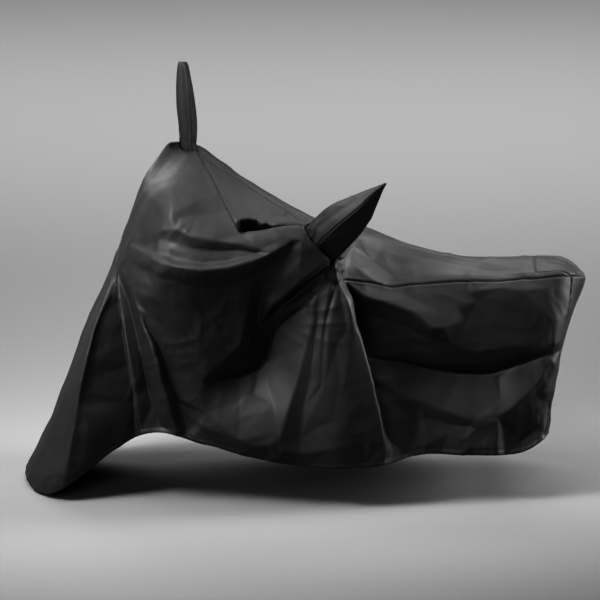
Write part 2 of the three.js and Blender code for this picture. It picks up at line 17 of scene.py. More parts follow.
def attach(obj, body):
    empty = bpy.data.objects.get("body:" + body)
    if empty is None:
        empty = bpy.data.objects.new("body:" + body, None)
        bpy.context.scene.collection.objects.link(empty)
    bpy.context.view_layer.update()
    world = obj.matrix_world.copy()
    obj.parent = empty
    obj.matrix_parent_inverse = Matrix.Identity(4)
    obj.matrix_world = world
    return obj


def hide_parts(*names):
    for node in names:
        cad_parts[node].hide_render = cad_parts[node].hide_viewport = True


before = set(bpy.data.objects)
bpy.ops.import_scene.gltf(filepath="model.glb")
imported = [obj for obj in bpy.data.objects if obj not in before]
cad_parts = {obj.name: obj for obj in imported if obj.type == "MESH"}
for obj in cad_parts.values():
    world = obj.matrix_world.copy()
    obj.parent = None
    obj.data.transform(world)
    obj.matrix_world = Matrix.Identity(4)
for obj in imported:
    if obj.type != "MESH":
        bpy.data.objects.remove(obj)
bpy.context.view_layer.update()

bl_info = {
    "name": "Fitted cloth cover",
    "version": (1, 0, 0),
    "blender": (4, 5, 0),
    "location": "View3D > Sidebar > Cover",
    "description": "Models a draped cover with mirror pockets and its studio",
    "category": "Add Mesh",
}

MM = 0.001
# The elevation sheet: mm for a square, the mark of its zero and how far it leans back
SQUARE = 3.75
ALONG_ZERO = 305
DOWN_ZERO = 476
LEAN_DEG = 15
LEAN_SIN = math.sin(math.radians(LEAN_DEG))
LEAN_COS = math.cos(math.radians(LEAN_DEG))
# From the sheet's zero to the middle of the cover's box, on the floor, in mm
ORIGIN_SHIFT = np.array([3.75, 33.4912, 5.2559])

LEVELS = ("hem", "low", "mid", "waist", "roll", "chest", "crown")
CROWN_ROW = len(LEVELS) - 1
# Each level is (along, down, y in mm); right is how far the right chest lies out and sunk, in mm
SECTIONS = [
    {"name": "nose", "hem": (24, 471, 0), "low": (50, 418, 0), "mid": (80, 342, 0), "waist": (103, 291, 0),
     "roll": (120, 248, 5), "chest": (144, 180, 80), "crown": (169, 143, 190)},
    {"name": "front corner", "hem": (54, 493, -285), "low": (77, 430, -265), "mid": (92, 345, -210),
     "waist": (108, 298, -150), "roll": (125, 250, -105), "chest": (150, 190, -60), "crown": (184, 142, 280),
     "right": (60, 6)},
    {"name": "apron seam", "hem": (142, 434, -330), "low": (137, 395, -330), "mid": (131, 350, -300),
     "waist": (128, 308, -240), "roll": (132, 256, -200), "chest": (165, 190, -170), "crown": (203, 148, 285),
     "right": (56, 12)},
    {"name": "headlamp", "hem": (205, 443, -360), "low": (196, 410, -360), "mid": (185, 365, -370),
     "waist": (173, 310, -370), "roll": (172, 264, -380), "chest": (190, 200, -260), "crown": (222, 162, 220),
     "right": (40, 26)},
    {"name": "knee", "hem": (250, 455, -370), "low": (243, 415, -380), "mid": (240, 372, -340),
     "waist": (236, 320, -340), "roll": (232, 266, -400), "chest": (236, 222, -300), "crown": (256, 186, 80),
     "right": (36, 40)},
    {"name": "arm", "hem": (298, 464, -390), "low": (292, 415, -390), "mid": (285, 375, -350),
     "waist": (281, 320, -330), "roll": (285, 256, -385), "chest": (288, 233, -350), "crown": (292, 208, -160),
     "right": (36, 46)},
    {"name": "bar end", "hem": (340, 467, -430), "low": (338, 420, -420), "mid": (336, 370, -400),
     "waist": (335, 320, -370), "roll": (332, 277, -345), "chest": (326, 252, -330), "crown": (322, 222, -235),
     "right": (36, 46)},
    {"name": "side seam", "hem": (385, 463, -395), "low": (378, 410, -375), "mid": (367, 355, -340),
     "waist": (356, 312, -300), "roll": (346, 279, -270), "chest": (352, 255, -200), "crown": (362, 228, -80)},
    {"name": "rider", "hem": (422, 453, -370), "low": (417, 410, -345), "mid": (412, 365, -300),
     "waist": (407, 320, -260), "roll": (400, 286, -205), "chest": (402, 264, -135), "crown": (407, 244, -30)},
    {"name": "seat", "hem": (470, 454, -360), "low": (470, 412, -340), "mid": (468, 368, -290),
     "waist": (466, 325, -245), "roll": (465, 282, -165), "chest": (466, 270, -105), "crown": (468, 258, -10)},
    {"name": "pillion", "hem": (518, 452, -340), "low": (521, 405, -320), "mid": (520, 362, -275),
     "waist": (520, 320, -225), "roll": (520, 280, -150), "chest": (522, 269, -95), "crown": (525, 258, 0)},
    {"name": "rear corner", "hem": (545, 435, -275), "low": (551, 395, -250), "mid": (556, 350, -215),
     "waist": (561, 315, -175), "roll": (566, 277, -120), "chest": (562, 270, -78), "crown": (557, 262, 0)},
    {"name": "tail", "hem": (540, 424, 0), "low": (549, 385, 0), "mid": (559, 345, 0), "waist": (572, 310, 0),
     "roll": (584, 280, 0), "chest": (580, 276, 0), "crown": (575, 271, 0)},
]
RIGHT_WIDTH = 0.94
RIGHT_CHEST_SHARE = 0.45

# Creases of the left side: marks along, down, and the height of the cloth there over the smooth shell in mm.
# The cloth lies flat between them.
CREASES = [
    ("hood ridge", [(181, 152, 2), (178, 168, 6), (174, 190, 9), (168, 212, 10), (161, 232, 9)]),
    ("hood crease", [(173, 214, 12), (186, 209, 5), (204, 201, 5), (218, 195, 6)]),
    ("hood panel", [(194, 182, 9), (206, 188, 7), (200, 168, 5), (215, 203, 4)]),
    ("above swag", [(181, 220, 4), (198, 217, -5), (222, 214, -7), (236, 224, -6)]),
    ("swag", [(164, 221, 6), (177, 230, 11), (192, 237, 17), (215, 242, 20), (240, 244, 16), (262, 250, 9)]),
    ("under swag", [(168, 241, 1), (190, 249, 1), (215, 252, 1), (240, 251, 0), (258, 254, 3)]),
    ("roll", [(128, 243, 6), (143, 252, 15), (161, 262, 23), (178, 267, 30), (204, 271, 34), (230, 268, 34),
              (256, 261, 29), (273, 254, 22), (286, 246, 15), (293, 241, 11)]),
    ("under roll", [(132, 262, 8), (160, 277, 10), (180, 283, 6), (204, 287, 2), (230, 285, -2),
                    (252, 277, -4), (268, 268, -2), (280, 259, 2)]),
    ("bulge", [(140, 302, 10), (151, 314, 2), (163, 324, -3), (180, 346, -8), (195, 370, -10),
               (203, 381, -9)]),
    ("strip", [(122, 262, 3), (133, 290, 10), (141, 310, 16), (148, 330, 22), (154, 345, 26),
               (159, 362, 28), (164, 385, 27), (170, 405, 24), (178, 430, 16)]),
    ("strip valley", [(121, 268, -2), (126, 285, -8), (131, 300, -15), (137, 325, -24), (141, 345, -28),
                      (145, 365, -29), (149, 385, -28), (154, 402, -22), (162, 424, -10)]),
    ("apron seam", [(121, 264, 0), (123, 300, 4), (127, 330, 6), (133, 365, 7), (138, 395, 7),
                    (140.5, 430, 5)]),
    ("apron valley", [(118.5, 270, -8), (121, 300, -30), (125, 330, -44), (131, 365, -54), (136, 398, -56),
                      (138.4, 432, -48)]),
    ("apron ridge", [(116, 258, 3), (105, 300, 22), (98, 320, 32), (90, 355, 43), (84, 380, 47),
                     (79, 405, 47), (75, 430, 45), (70, 460, 38), (65, 486, 26)]),
    ("apron strip", [(94, 318, 12), (74, 365, 15), (58, 402, 17), (45, 435, 17), (32, 474, 12)]),
    ("hollow left", [(252, 288, 2), (246, 318, 10), (241, 344, 11), (228, 357, 9), (208, 374, 3)]),
    ("hollow deep", [(262, 296, -18), (258, 325, -24), (252, 348, -26), (240, 362, -22), (222, 373, -16)]),
    ("hollow rim", [(203, 381.5, -8), (220, 379.5, -36), (240, 376.5, -60), (259, 369.5, -72),
                    (267.5, 357.5, -74), (272.5, 339.5, -66), (277.5, 327.5, -52), (291.5, 315.5, -30),
                    (305.5, 304.5, -8), (320, 290, 0)]),
    ("rim facet", [(240, 400, -16), (254, 393, -24), (268, 384, -22), (274, 402, 0), (279, 430, 26),
                   (270, 444, 34), (256, 445, 30), (240, 438, 24)]),
    ("knee left", [(182, 398, -2), (200, 392, -4), (207, 412, 5), (202, 426, 8), (194, 436, 7)]),
    ("cone ridge", [(311, 303, 10), (312, 320, 18), (306, 345, 24), (298, 375, 27), (286, 415, 30),
                    (279, 440, 31), (278, 458, 26)]),
    ("beside cone", [(319, 318, 10), (315, 345, 14), (311, 375, 14), (304, 405, 13), (300, 438, 15)]),
    ("twin front", [(331, 284, 10), (322, 320, 23), (319, 345, 26), (318, 384, 22)]),
    ("between twins", [(334, 286, 6), (326, 322, 18), (323.5, 345, 21), (321, 384, 19)]),
    ("twin rear", [(338, 284, 10), (332, 305, 21), (328, 330, 25), (324, 384, 22)]),
    ("side flat", [(336, 345, 17), (339, 385, 19), (339, 425, 19)]),
    ("side lip", [(338, 302, 18), (343, 330, 22), (350, 362, 26), (358, 398, 28), (367, 440, 27)]),
    ("side edge", [(341, 280, 14), (346, 298, 24), (350.5, 324, 29), (356, 340, 31), (362, 364, 33),
                   (368, 388, 33), (374, 416, 31), (378.5, 440, 29), (382, 463, 24)]),
    ("behind edge", [(346, 286, -6), (350, 298, -28), (355, 324, -40), (360.5, 340, -44), (366.5, 362, -38),
                     (372.5, 386, -32), (378.5, 414, -32), (383.5, 434, -26), (391, 450, -8)]),
    ("side blotch", [(310, 414, 17), (320, 424, 13), (332, 420, 16)]),
    ("side low", [(284, 450, 30), (300, 452, 20), (330, 448, 20), (345, 444, 21), (362, 442, 20),
                  (366, 460, 12)]),
    ("arm top", [(293, 241, 13), (302, 241, 14), (313, 245, 18), (326, 252, 19), (337, 257, 16)]),
    ("arm left", [(292, 247, 6), (284, 262, 2), (272, 277, -4), (264, 287, -12)]),
    ("arm middle", [(300, 262, 22), (288, 276, 18), (277, 290, 12)]),
    ("arm edge", [(337, 258, 17), (325, 264, 23), (300, 284, 27), (285, 297, 24), (271, 307, 18)]),
    ("under arm", [(331, 266, -8), (322, 273, -18), (304, 288, -32), (289, 300, -36), (275, 311, -34)]),
    ("arm lip", [(327, 283, 2), (312, 292, -2), (303, 299, -4), (290, 307, -12), (281, 316, -24)]),
    ("tab", [(328, 263, 6), (329, 275, 12), (333, 281, 14), (340, 271, 12), (338, 260, 6), (333, 267, 18)]),
    ("dash top", [(241, 221, 2), (250, 220, 4), (258, 221, 4), (266, 225, 2), (276, 227, 0), (290, 222, -3)]),
    ("dash hollow", [(241.5, 233, -36), (248, 233, -72), (256, 232.6, -84), (266, 231, -56),
                     (276, 229.2, -22), (289, 226.6, -8), (303, 226, -3)]),
    ("dash lip", [(241, 236.4, -3), (256, 235.6, 3), (273, 232.6, 5), (289, 229.6, 4), (303, 229, 2)]),
    ("dash facet", [(254, 247, 7), (270, 246, 8), (284, 240, 8)]),
    ("hood side", [(220, 178, 6), (236, 194, 7), (262, 204, 5), (288, 214, 2)]),
    ("shoulder band", [(343, 258, 8), (355, 266, 14), (370, 278, 14), (383, 286, 8)]),
    ("shoulder flat", [(353, 247, 1), (372, 262, -5), (392, 276, -4), (420, 277, -2)]),
    ("seat band", [(361, 240, 3), (382, 248, -5), (420, 258, -8), (462, 266, -8), (500, 274, -5),
                   (522, 278, -1)]),
    ("seat top", [(470, 259, -1), (495, 265, -1), (530, 270, 0), (552, 270, 1)]),
    ("rear top", [(346, 284, 6), (362, 296, 16), (385, 303, 21), (400, 308, 24), (413, 313, 27),
                  (430, 328, 28), (441, 328, 26), (455, 308, 13), (468, 293, 4)]),
    ("rear top upper", [(362, 286, 8), (385, 291, 9), (405, 296, 9), (420, 303, 12), (436, 310, 15),
                        (446, 300, 8)]),
    ("below rear top", [(356, 304, -22), (366, 313, -26), (385, 320, -14), (410, 327, -6), (430, 341, -4),
                        (448, 341, -4), (464, 320, -6), (476, 300, 2)]),
    ("rear facet", [(474, 291, 10), (500, 288, 14), (520, 291, 14), (545, 288, 12)]),
    ("rear facet low", [(470, 332, -8), (500, 330, -8), (530, 332, -6), (545, 338, 0)]),
    ("rear corner", [(551, 282, 7), (551, 300, 9), (550, 320, 10), (552, 344, 8)]),
    ("hollow top", [(368, 332, -40), (400, 338, -24), (440, 350, -14), (472, 351, -12), (505, 347, -10),
                    (532, 344, -6), (550, 345, 2)]),
    ("hollow bottom", [(368, 347, -44), (400, 352, -36), (436, 361, -34), (458, 363, -36), (478, 363, -36),
                       (492, 362, -34), (510, 357, -26), (530, 351, -14), (550, 349, 0)]),
    ("rear rim", [(366, 356.7, -44), (400, 361.7, -54), (436, 370.7, -64), (458, 373.7, -72),
                  (478, 374.7, -72), (492, 373.7, -68), (510, 367.7, -56), (530, 360.7, -36),
                  (552, 352.7, -4)]),
    ("rear rim facet", [(378, 381, -28), (395, 389, -28), (412, 398, -24), (440, 409, -18), (470, 418, -10),
                        (497, 417, -8), (512, 406, -8), (535, 384, -4), (550, 362, 0)]),
    ("below facet", [(384, 392, -32), (400, 404, -32), (425, 416, -30), (450, 424, -26), (468, 425, -20)]),
    ("low rear", [(404, 452, -14), (425, 443, -10), (446, 434, -14), (462, 438, -10), (476, 428, -10)]),
    ("rear fold", [(495, 421, -4), (496, 436, 0), (496, 452, 2)]),
    ("rear fold behind", [(500, 424, -16), (501, 438, -20), (502, 451, -22)]),
    ("rear patch", [(478, 430, -10), (470, 446, -4), (484, 448, 0)]),
    ("rear triangle", [(516, 412, -16), (534, 394, -16), (546, 376, -8)]),
    ("rear triangle low", [(518, 440, -34), (535, 428, -30), (546, 404, -16)]),
    ("rear edge", [(556, 368, 2), (554, 390, 0), (552, 415, 0), (546, 438, 0)]),
    ("roll upper", [(146, 247, 5), (164, 255, 7), (184, 261, 8), (206, 264, 9), (230, 262, 9), (254, 256, 8)]),
    ("bulge body", [(152, 297, 14), (172, 309, 13), (192, 331, 11), (207, 354, 8), (212, 371, 3)]),
    ("beside strip", [(148, 326, 2), (160, 345, -8), (169, 370, -14), (180, 400, -12), (188, 430, -6)]),
    ("rear facet mid", [(497, 380, -44), (499, 396, -28), (497, 414, -8)]),
    ("knee edge", [(204, 385, -6), (221.5, 382.7, -22), (241.5, 379.7, -34), (260.6, 372.7, -40),
                   (269.6, 360.7, -40), (274.6, 342.7, -34), (279.6, 330.7, -26), (293.6, 318.7, -14),
                   (307.6, 307.7, 0)]),
    ("rear edge fold", [(366, 360.2, -30), (400, 365.2, -36), (436, 374.2, -42), (458, 377.2, -46),
                        (478, 378.2, -46), (492, 377.2, -44), (510, 371.2, -36), (530, 364.2, -22),
                        (552, 356.2, -2)]),
    ("dash fold", [(264, 226.5, -4), (272, 221.5, -8), (280, 217, -8), (289, 214, -3)]),
    ("hem front", [(24, 482, 6), (45, 496, 6), (66, 489, 14), (100, 467, -18), (120, 453, -32),
                   (138, 437, -40)]),
    ("hem", [(142, 436, 8), (160, 433, 2), (176, 434, 12), (190, 438, 2), (205, 444, 8), (224, 449, 0),
             (240, 453, 8), (262, 459, -2), (280, 462, 2), (305, 466, 0), (345, 468, 6), (387, 467, 20),
             (404, 454, -14), (422, 453, -6), (440, 455, -14), (456, 454, -4), (470, 455, -10),
             (484, 454, -2), (496, 456, 4), (503, 455, -22), (530, 449, -10), (548, 436, 0)]),
]
RIGHT_CREASES = [
    ("right under roll", [(150, 285, 2), (200, 300, -4), (260, 295, -6), (320, 285, -4)]),
    ("right knee", [(150, 330, 14), (200, 378, 22), (250, 372, 24), (290, 335, 12)]),
    ("right hollow knee", [(190, 330, -8), (230, 345, -16), (262, 330, -10)]),
    ("right drop", [(345, 290, 16), (352, 340, 22), (362, 400, 24), (370, 458, 18)]),
    ("right behind drop", [(362, 300, -8), (372, 345, -14), (384, 400, -10), (392, 450, -4)]),
    ("right hollow", [(400, 335, -10), (440, 350, -22), (500, 350, -22), (548, 345, -6)]),
    ("right rim", [(400, 380, 12), (450, 388, 18), (500, 380, 16), (545, 366, 8)]),
    ("right apron", [(120, 270, 6), (136, 330, 20), (150, 400, 22), (156, 432, 14)]),
    ("right apron valley", [(126, 330, -8), (134, 380, -12), (140, 430, -6)]),
    ("right hem", [(60, 492, 6), (100, 466, -8), (180, 437, 8), (240, 452, -4), (300, 465, 12), (345, 467, 2),
                   (385, 463, 12), (420, 452, -6), (470, 454, 8), (515, 452, -4), (545, 436, 4)]),
    ("right roll", [(150, 262, 12), (200, 272, 24), (240, 270, 22), (272, 276, 8), (300, 288, -6)]),
    ("right shoulder", [(262, 243, -6), (282, 243, -20), (296, 247, -26), (308, 252, -24), (322, 260, -16),
                        (340, 268, -6)]),
]
# Both halves have the same steps, so that they meet vertex to vertex along the nose, the crown and the tail
STEPS_ALONG = 470
STEPS_UP = 214
# The grid of the relief in mm, how far it goes past the creases, and how much its facets' edges are rounded
RELIEF_PITCH = 2.5
RELIEF_MARGIN = 60
RELIEF_BLUR = 2.8
# A vertex this near to a crease, in mm, takes its height from it
ON_CREASE = 0.5
# Where the folds and the crumple fade out, in rows below the crown and in sections from the nose and the tail
CROWN_FADE = 0.45
END_FADE = 0.35
CROWN_RIM = 0.1
END_RIM = 0.15
# The folds fade where the shell turns edge-on to the sheet, and are deepened no more than this makes them
FACING_FADE = 0.3
FACING_LEAST = 0.5
# Vertices nearer to a cut than this share of an edge move onto it
CUT_SNAP = 0.04
# A row of the shell starts with its place and its normal
PLACE_AND_NORMAL = 6


def crease_line(name):
    """The places of a crease on the sheet, without its heights."""
    return [mark[:2] for mark in dict(CREASES)[name]]


# Edges that fold over the cloth beside them: their line, which way they lean on the sheet, and in mm how far
# they lean, how wide the hidden strip is and how far the lean reaches into the cloth
FOLDS = [
    {"line": crease_line("side edge"), "way": (1, 0), "over": 20, "strip": 14, "reach": 42},
    {"line": crease_line("knee edge"), "way": (-0.5, 0.85), "over": 14, "strip": 12, "reach": 30},
    {"line": [(370, 360.6), (400, 365.2), (436, 374.2), (458, 377.2), (478, 378.2), (492, 377.2), (510, 371.2),
              (530, 364.2), (552, 356.2)], "way": (0, 1), "over": 14, "strip": 12, "reach": 30},
    {"line": [(241, 236), (256, 235.5), (273, 232.5), (289, 229.5), (303, 229)], "way": (0, 1), "over": 9,
     "strip": 8, "reach": 20},
    {"line": [(140.5, 432), (138, 395), (133, 365), (127, 330), (123, 300), (121, 266)], "way": (-1, 0),
     "over": 9, "strip": 8, "reach": 20},
]
# The shares of a fold's line over which it opens and closes
FOLD_OPENS = 0.14
FOLD_CLOSES = 0.08

# Seams as marks on the sheet
APRON_SEAM = [(118, 252), (122, 300), (127, 330), (132, 365), (137, 395), (139, 415), (141, 440), (141, 520)]
DASH_SEAM = [(193, 146), (202, 161), (211, 176), (220, 192), (228, 209), (240, 232), (256, 233), (273, 230),
             (289, 227), (305, 226)]
BAR_SEAM = [(193, 146), (204, 157), (220, 169), (239, 180), (262, 196), (284, 210), (305, 226)]
SHOULDER_SEAM = [(305, 226), (313, 243), (326, 252), (338, 258), (342, 280)]
SEAT_SEAM = [(342, 280), (370, 283), (392, 287), (420, 284), (450, 282), (500, 281), (540, 278), (567, 276),
             (620, 276)]
SIDE_SEAM = [(342, 280), (351, 298), (356, 324), (362, 340), (368, 364), (374, 388), (380, 416), (384, 440),
             (388, 500)]
RIGHT_TOP_SEAM = [(168, 175), (200, 205), (240, 232), (290, 262), (345, 281)]
# The tail panel: half its width at heights over the sheet's zero, and where it starts, in mm
TAIL_EDGE = [(118, 1000), (118, 800), (160, 690), (200, 540), (232, 380), (262, 60)]
TAIL_FROM_X = 860
# Marks beyond the shell on all four sides, which close the panels' areas
HIGH, LOW, FRONT, BACK = 20, 560, -40, 680
APRON_AREA = [(118, 252), (FRONT, 252), (FRONT, LOW), (141, LOW)] + APRON_SEAM[1:-1][::-1]
DASH_AREA = DASH_SEAM + BAR_SEAM[1:-1][::-1]
TOP_AREA = BAR_SEAM + SHOULDER_SEAM[1:] + SEAT_SEAM[1:-1] + [
    (BACK, 276), (BACK, HIGH), (188, HIGH), (188, 140)]
RIGHT_TOP_AREA = RIGHT_TOP_SEAM + SEAT_SEAM[1:-1] + [(BACK, 276), (BACK, HIGH), (150, HIGH), (150, 160)]
TAIL_AREA = [(-h, z) for h, z in TAIL_EDGE] + [(h, z) for h, z in TAIL_EDGE][::-1]
REAR_AREA = SIDE_SEAM + [(388, LOW), (BACK, LOW), (BACK, 276)] + SEAT_SEAM[1:-1][::-1]

# Rings of the pockets: middle, half the width, half the depth and the near seam's offset in mm
LEFT_POCKET = {"across": (0.64, 0.77), "rings": [
    ((314, 256, -275), 60, 44, -4), ((319, 246, -325), 84, 54, -6), ((334, 231.5, -375), 85, 56, -6),
    ((348, 219.5, -408), 74, 50, -5), ((361, 208.5, -430), 53, 38, -5), ((371.5, 198, -448), 29, 24, -5),
    ((379, 190.5, -460), 12, 11, -2), ((384, 186, -468), 3, 2.6, 0)], "gather": 5.5}
RIGHT_POCKET = {"across": (1, 0.06), "rings": [
    ((189, 162, 236), 37, 56, 12), ((188, 142, 238), 35, 60, 13), ((187.5, 126, 242), 35, 64, 14),
    ((186, 108, 246), 36, 62, 14), ((184.5, 90, 250), 32, 54, 14), ((183.5, 76, 252), 26, 42, 12),
    ((183, 66, 254), 20.5, 28, 7), ((182.6, 61.5, 255), 15, 12, 3)], "gather": 6.5}

# Where the relief ends on the sheet: along the crown, behind the tail and before the nose
RELIEF_RIM = [(10, 500), (30, 430), (60, 350), (90, 280), (110, 230), (130, 180), (150, 140), (180, 130),
              (205, 146), (240, 170), (280, 196), (314, 212), (345, 225), (380, 232), (430, 248), (470, 254),
              (520, 254), (556, 256), (590, 270), (592, 300), (575, 340), (566, 380), (558, 430), (560, 480)]

# Facets that coated cloth keeps from its folding: how wide they are in mm, how they are squeezed across, their
# seed, and their height in mm everywhere and in the patches that are worn most
FACETS = ((150, (1, 1, 0.7), 1, 3.6, 0), (70, (0.8, 1, 1), 2, 0.7, 1.8), (34, (1.2, 1, 0.8), 3, 0, 0.8))
PATCH_WIDE = 230
WARP_WIDE = 160
WARP = 45

# Puckers along the seams and the hem, in mm: their length, how much they waver, their reach and their height
SEAM_PUCKERS = {"long": 24, "waver": 2.6, "reach": 16, "height": 1.6}
HEM_PUCKERS = {"long": 34, "waver": 3, "reach": 26, "height": 1.4}
# Soft ridges beside the seams and the hem: height, distance and half width in mm
SEAM_LIP = (0.7, 9, 5)
SEAM_GROOVE = (-3.6, 0, 3.8)
HEM_ROLL = (1.1, 9, 7)
HEM_STITCH_LINE = (-1.2, 20, 3)
POCKET_LIP = (1.4, 7, 5)

# The pockets: steps along and round each half, the least half width in mm, how much the corners are flattened,
# and the half width in mm at which the crumple has its full height
POCKET_STEPS = 150
POCKET_ARC = 44
POCKET_LEAST = 0.8
POCKET_FLATTEN = 0.28
POCKET_WIDE = 80
# How much finer and lower than the shell's a pocket's crumple is, and how near to the seams it fades
POCKET_FINER = 1.3
POCKET_LOWER = 0.8
POCKET_FADE = 0.1
# The gather at a pocket's foot: its folds, their waver, the ring that it sits at and how many rings it reaches
GATHER_FOLDS = 4.5
GATHER_WAVER = 1.6
GATHER_RING = 1.0
GATHER_REACH = 0.55
# The pitch of a pocket's steps on its UV map, in metres
POCKET_UV = (0.0022, 0.0045)
# A pocket's mouth: the last ring that may open the shell, how many places up to it are tried, and half the
# width of the band that each opens, in mm
MOUTH_LAST = 5
MOUTH_PLACES = 60
MOUTH_BAND = 6
# Vertices of the two halves this near to each other, in metres, become one
JOIN = 0.00005

# The cloth's finish: half widths of the seam's groove, which is also darkened with painted shade, and of a
# stitch in metres, and the near-black colour of the painted shade in the seam
SEAM_GROOVE_SHADE_HALF = 0.004
STITCH_HALF = 0.0006
SEAM_SHADE_COLOUR = (0.0008, 0.0008, 0.0008, 1.0)

# Flat size of each sheet in metres, and its area in square metres
FLAT = {
    "apron": ((1.00, 0.92), 0.73), "dash": ((0.62, 0.36), 0.09), "top": ((1.62, 0.82), 0.69),
    "tail": ((0.64, 0.56), 0.25),
    "side_front_left": ((1.15, 1.28), 1.20), "side_front_right": ((1.15, 1.15), 0.90),
    "side_rear_left": ((0.90, 0.74), 0.53), "side_rear_right": ((0.90, 0.74), 0.48),
    "mirror_pocket_left": ((0.40, 0.26), 0.062), "mirror_pocket_right": ((0.40, 0.17), 0.05),
}

# The studio's soft boxes: name, the property with its power, place, aim, size in metres and spread in degrees
BOXES = (
    ("overhead", "overhead", (-0.6, -0.5, 4.2), (-0.4, 0.1, 0.0), (2.6, 2.0), 120),
    ("backdrop", "backdrop", (0.0, 6.0, 5.6), (0.0, 6.0, 0.0), (12.0, 5.0), 115),
    ("left_box", "left", (-2.9, -1.5, 3.6), (-0.35, 0.0, 0.95), (1.4, 1.4), 80),
    ("right_box", "right", (3.0, 0.2, 3.6), (0.8, 0.0, 0.7), (1.4, 1.4), 70),
    ("front_box", "front", (-1.6, -4.4, 1.9), (-0.1, 0.0, 0.75), (2.0, 1.4), 50),
    ("seat_box", "seat", (1.1, 1.5, 2.8), (0.85, 0.1, 0.8), (1.4, 0.8), 60),
    ("nose_box", "nose", (-4.2, -0.9, 1.8), (-0.4, 0.0, 0.8), (2.4, 2.2), 90),
    ("corner_box", "corner", (4.0, 0.5, 1.9), (0.95, 0.0, 0.8), (1.4, 2.0), 40),
    ("rear_box", "rear", (-2.0, 3.4, 2.6), (0.0, 0.2, 0.8), (2.0, 1.6), 90),
)
# The floor's half width and how far it lies below the hem, in metres, and the colour of the light all round
FLOOR_HALF = 30
FLOOR_DROP = 0.001
FILL_COLOUR = (0.9, 0.92, 0.95, 1)
# The camera: its sensor in mm, the mark that it looks at and how far it sees, in metres
SENSOR = 36
AIM_MARK = (300, 300, 0)
SEES = 200


def smooth(t):
    t = np.clip(t, 0, 1)
    return t * t * (3 - 2 * t)


def swell(distance, height, place, width):
    """A soft ridge at a distance from a line."""
    return height * np.exp(-(((distance - place) / width) ** 2))


def mark_mm(along, down):
    return (along - ALONG_ZERO) * SQUARE, (DOWN_ZERO - down) * SQUARE


def marks_mm(marks):
    return np.array([mark_mm(*mark) for mark in marks], float)


def on_sheet(mark, side=1):
    """A place in space, in mm, from its mark on the sheet and its distance across."""
    x, up = mark_mm(*mark[:2])
    return np.array([x, mark[2], (up - side * mark[2] * LEAN_SIN) / LEAN_COS])


def sheet_marks(points, side):
    """Where points of space, in sheet mm, are on the sheet seen from that side."""
    return np.stack([points[..., 0], points[..., 2] * LEAN_COS + side * points[..., 1] * LEAN_SIN], -1)


def control_net():
    """The control points of the shell, with a ring of extra ones round them."""
    net = []
    for i, section in enumerate(SECTIONS):
        left = [on_sheet(section[level]) for level in LEVELS]
        end = i in (0, len(SECTIONS) - 1)
        right = [p * (1, 1 if end else -RIGHT_WIDTH, 1) for p in left[:-1]]
        if "right" in section:
            out, sunk = section["right"]
            right[5] = left[6] + (right[4] - left[6]) * RIGHT_CHEST_SHARE + np.array([0, out, -sunk])
        net.append(left + right[::-1])
    net = np.array(net)
    net = np.concatenate([net[1:2, ::-1], net, net[-2:-1, ::-1]])
    first = 2 * net[:, :1] - net[:, 1:2]
    last = 2 * net[:, -1:] - net[:, -2:-1]
    return np.concatenate([first, net, last], 1)


NET = control_net()
LAST_SECTION = len(SECTIONS) - 1
LAST_ROW = 2 * CROWN_ROW


def spline(values, at, count):
    """Rows of weights on the padded control points for places along a uniform spline."""
    i = np.clip(np.floor(at).astype(int), 0, count - 1)
    t = at - i
    weights = np.zeros((len(at), values))
    rows = np.arange(len(at))
    for k, w in enumerate((0.5 * (-t + 2 * t**2 - t**3), 0.5 * (2 - 5 * t**2 + 3 * t**3),
                           0.5 * (t + 4 * t**2 - 3 * t**3), 0.5 * (-t**2 + t**3))):
        weights[rows, i + k] += w
    return weights


def smooth_shell(u, w):
    along = spline(NET.shape[0], u, LAST_SECTION)
    up = spline(NET.shape[1], w, LAST_ROW)
    return np.einsum("ia,jb,abc->ijc", along, up, NET)


def grid_normals(points):
    n = np.cross(np.gradient(points, axis=0), np.gradient(points, axis=1))
    return n / np.maximum(np.linalg.norm(n, axis=-1, keepdims=True), 1e-12)


def along_line(points, line, closed=False):
    """Distance to a line of marks, and the length along it."""
    best = np.full(points.shape[:-1], np.inf)
    run = np.zeros_like(best)
    start = 0.0
    for p, q in zip(line, np.roll(line, -1, 0) if closed else line[1:]):
        step = q - p
        long = np.hypot(*step)
        off = points - p
        share = np.clip((off @ step) / long**2, 0, 1)
        away = np.hypot(off[..., 0] - share * step[0], off[..., 1] - share * step[1])
        near = away < best
        best = np.where(near, away, best)
        run = np.where(near, start + share * long, run)
        start += long
    return best, run


def beside(marks, line):
    """Distance from a line, positive to the right of its run, and how far along it from 0 to 1."""
    best = np.full(marks.shape[:-1], np.inf)
    signed, along = np.zeros_like(best), np.zeros_like(best)
    for k, (p, q) in enumerate(zip(line, line[1:])):
        step = q - p
        share = np.clip(((marks - p) @ step) / (step @ step), 0, 1)
        off = marks - p - share[..., None] * step
        far = np.hypot(off[..., 0], off[..., 1])
        closer = far < best
        best = np.where(closer, far, best)
        left = step[0] * off[..., 1] > step[1] * off[..., 0]
        signed = np.where(closer, np.where(left, -far, far), signed)
        along = np.where(closer, (k + share) / (len(line) - 1), along)
    return signed, along


def inside(points, outline):
    """Signed distance to an outline, positive inside."""
    distance = along_line(points, outline, closed=True)[0]
    crossings = np.zeros(points.shape[:-1], bool)
    x, y = points[..., 0], points[..., 1]
    for p, q in zip(outline, np.roll(outline, -1, 0)):
        if p[1] != q[1]:
            crossings ^= ((p[1] > y) != (q[1] > y)) & (x < (q[0] - p[0]) * (y - p[1]) / (q[1] - p[1]) + p[0])
    return np.where(crossings, distance, -distance)


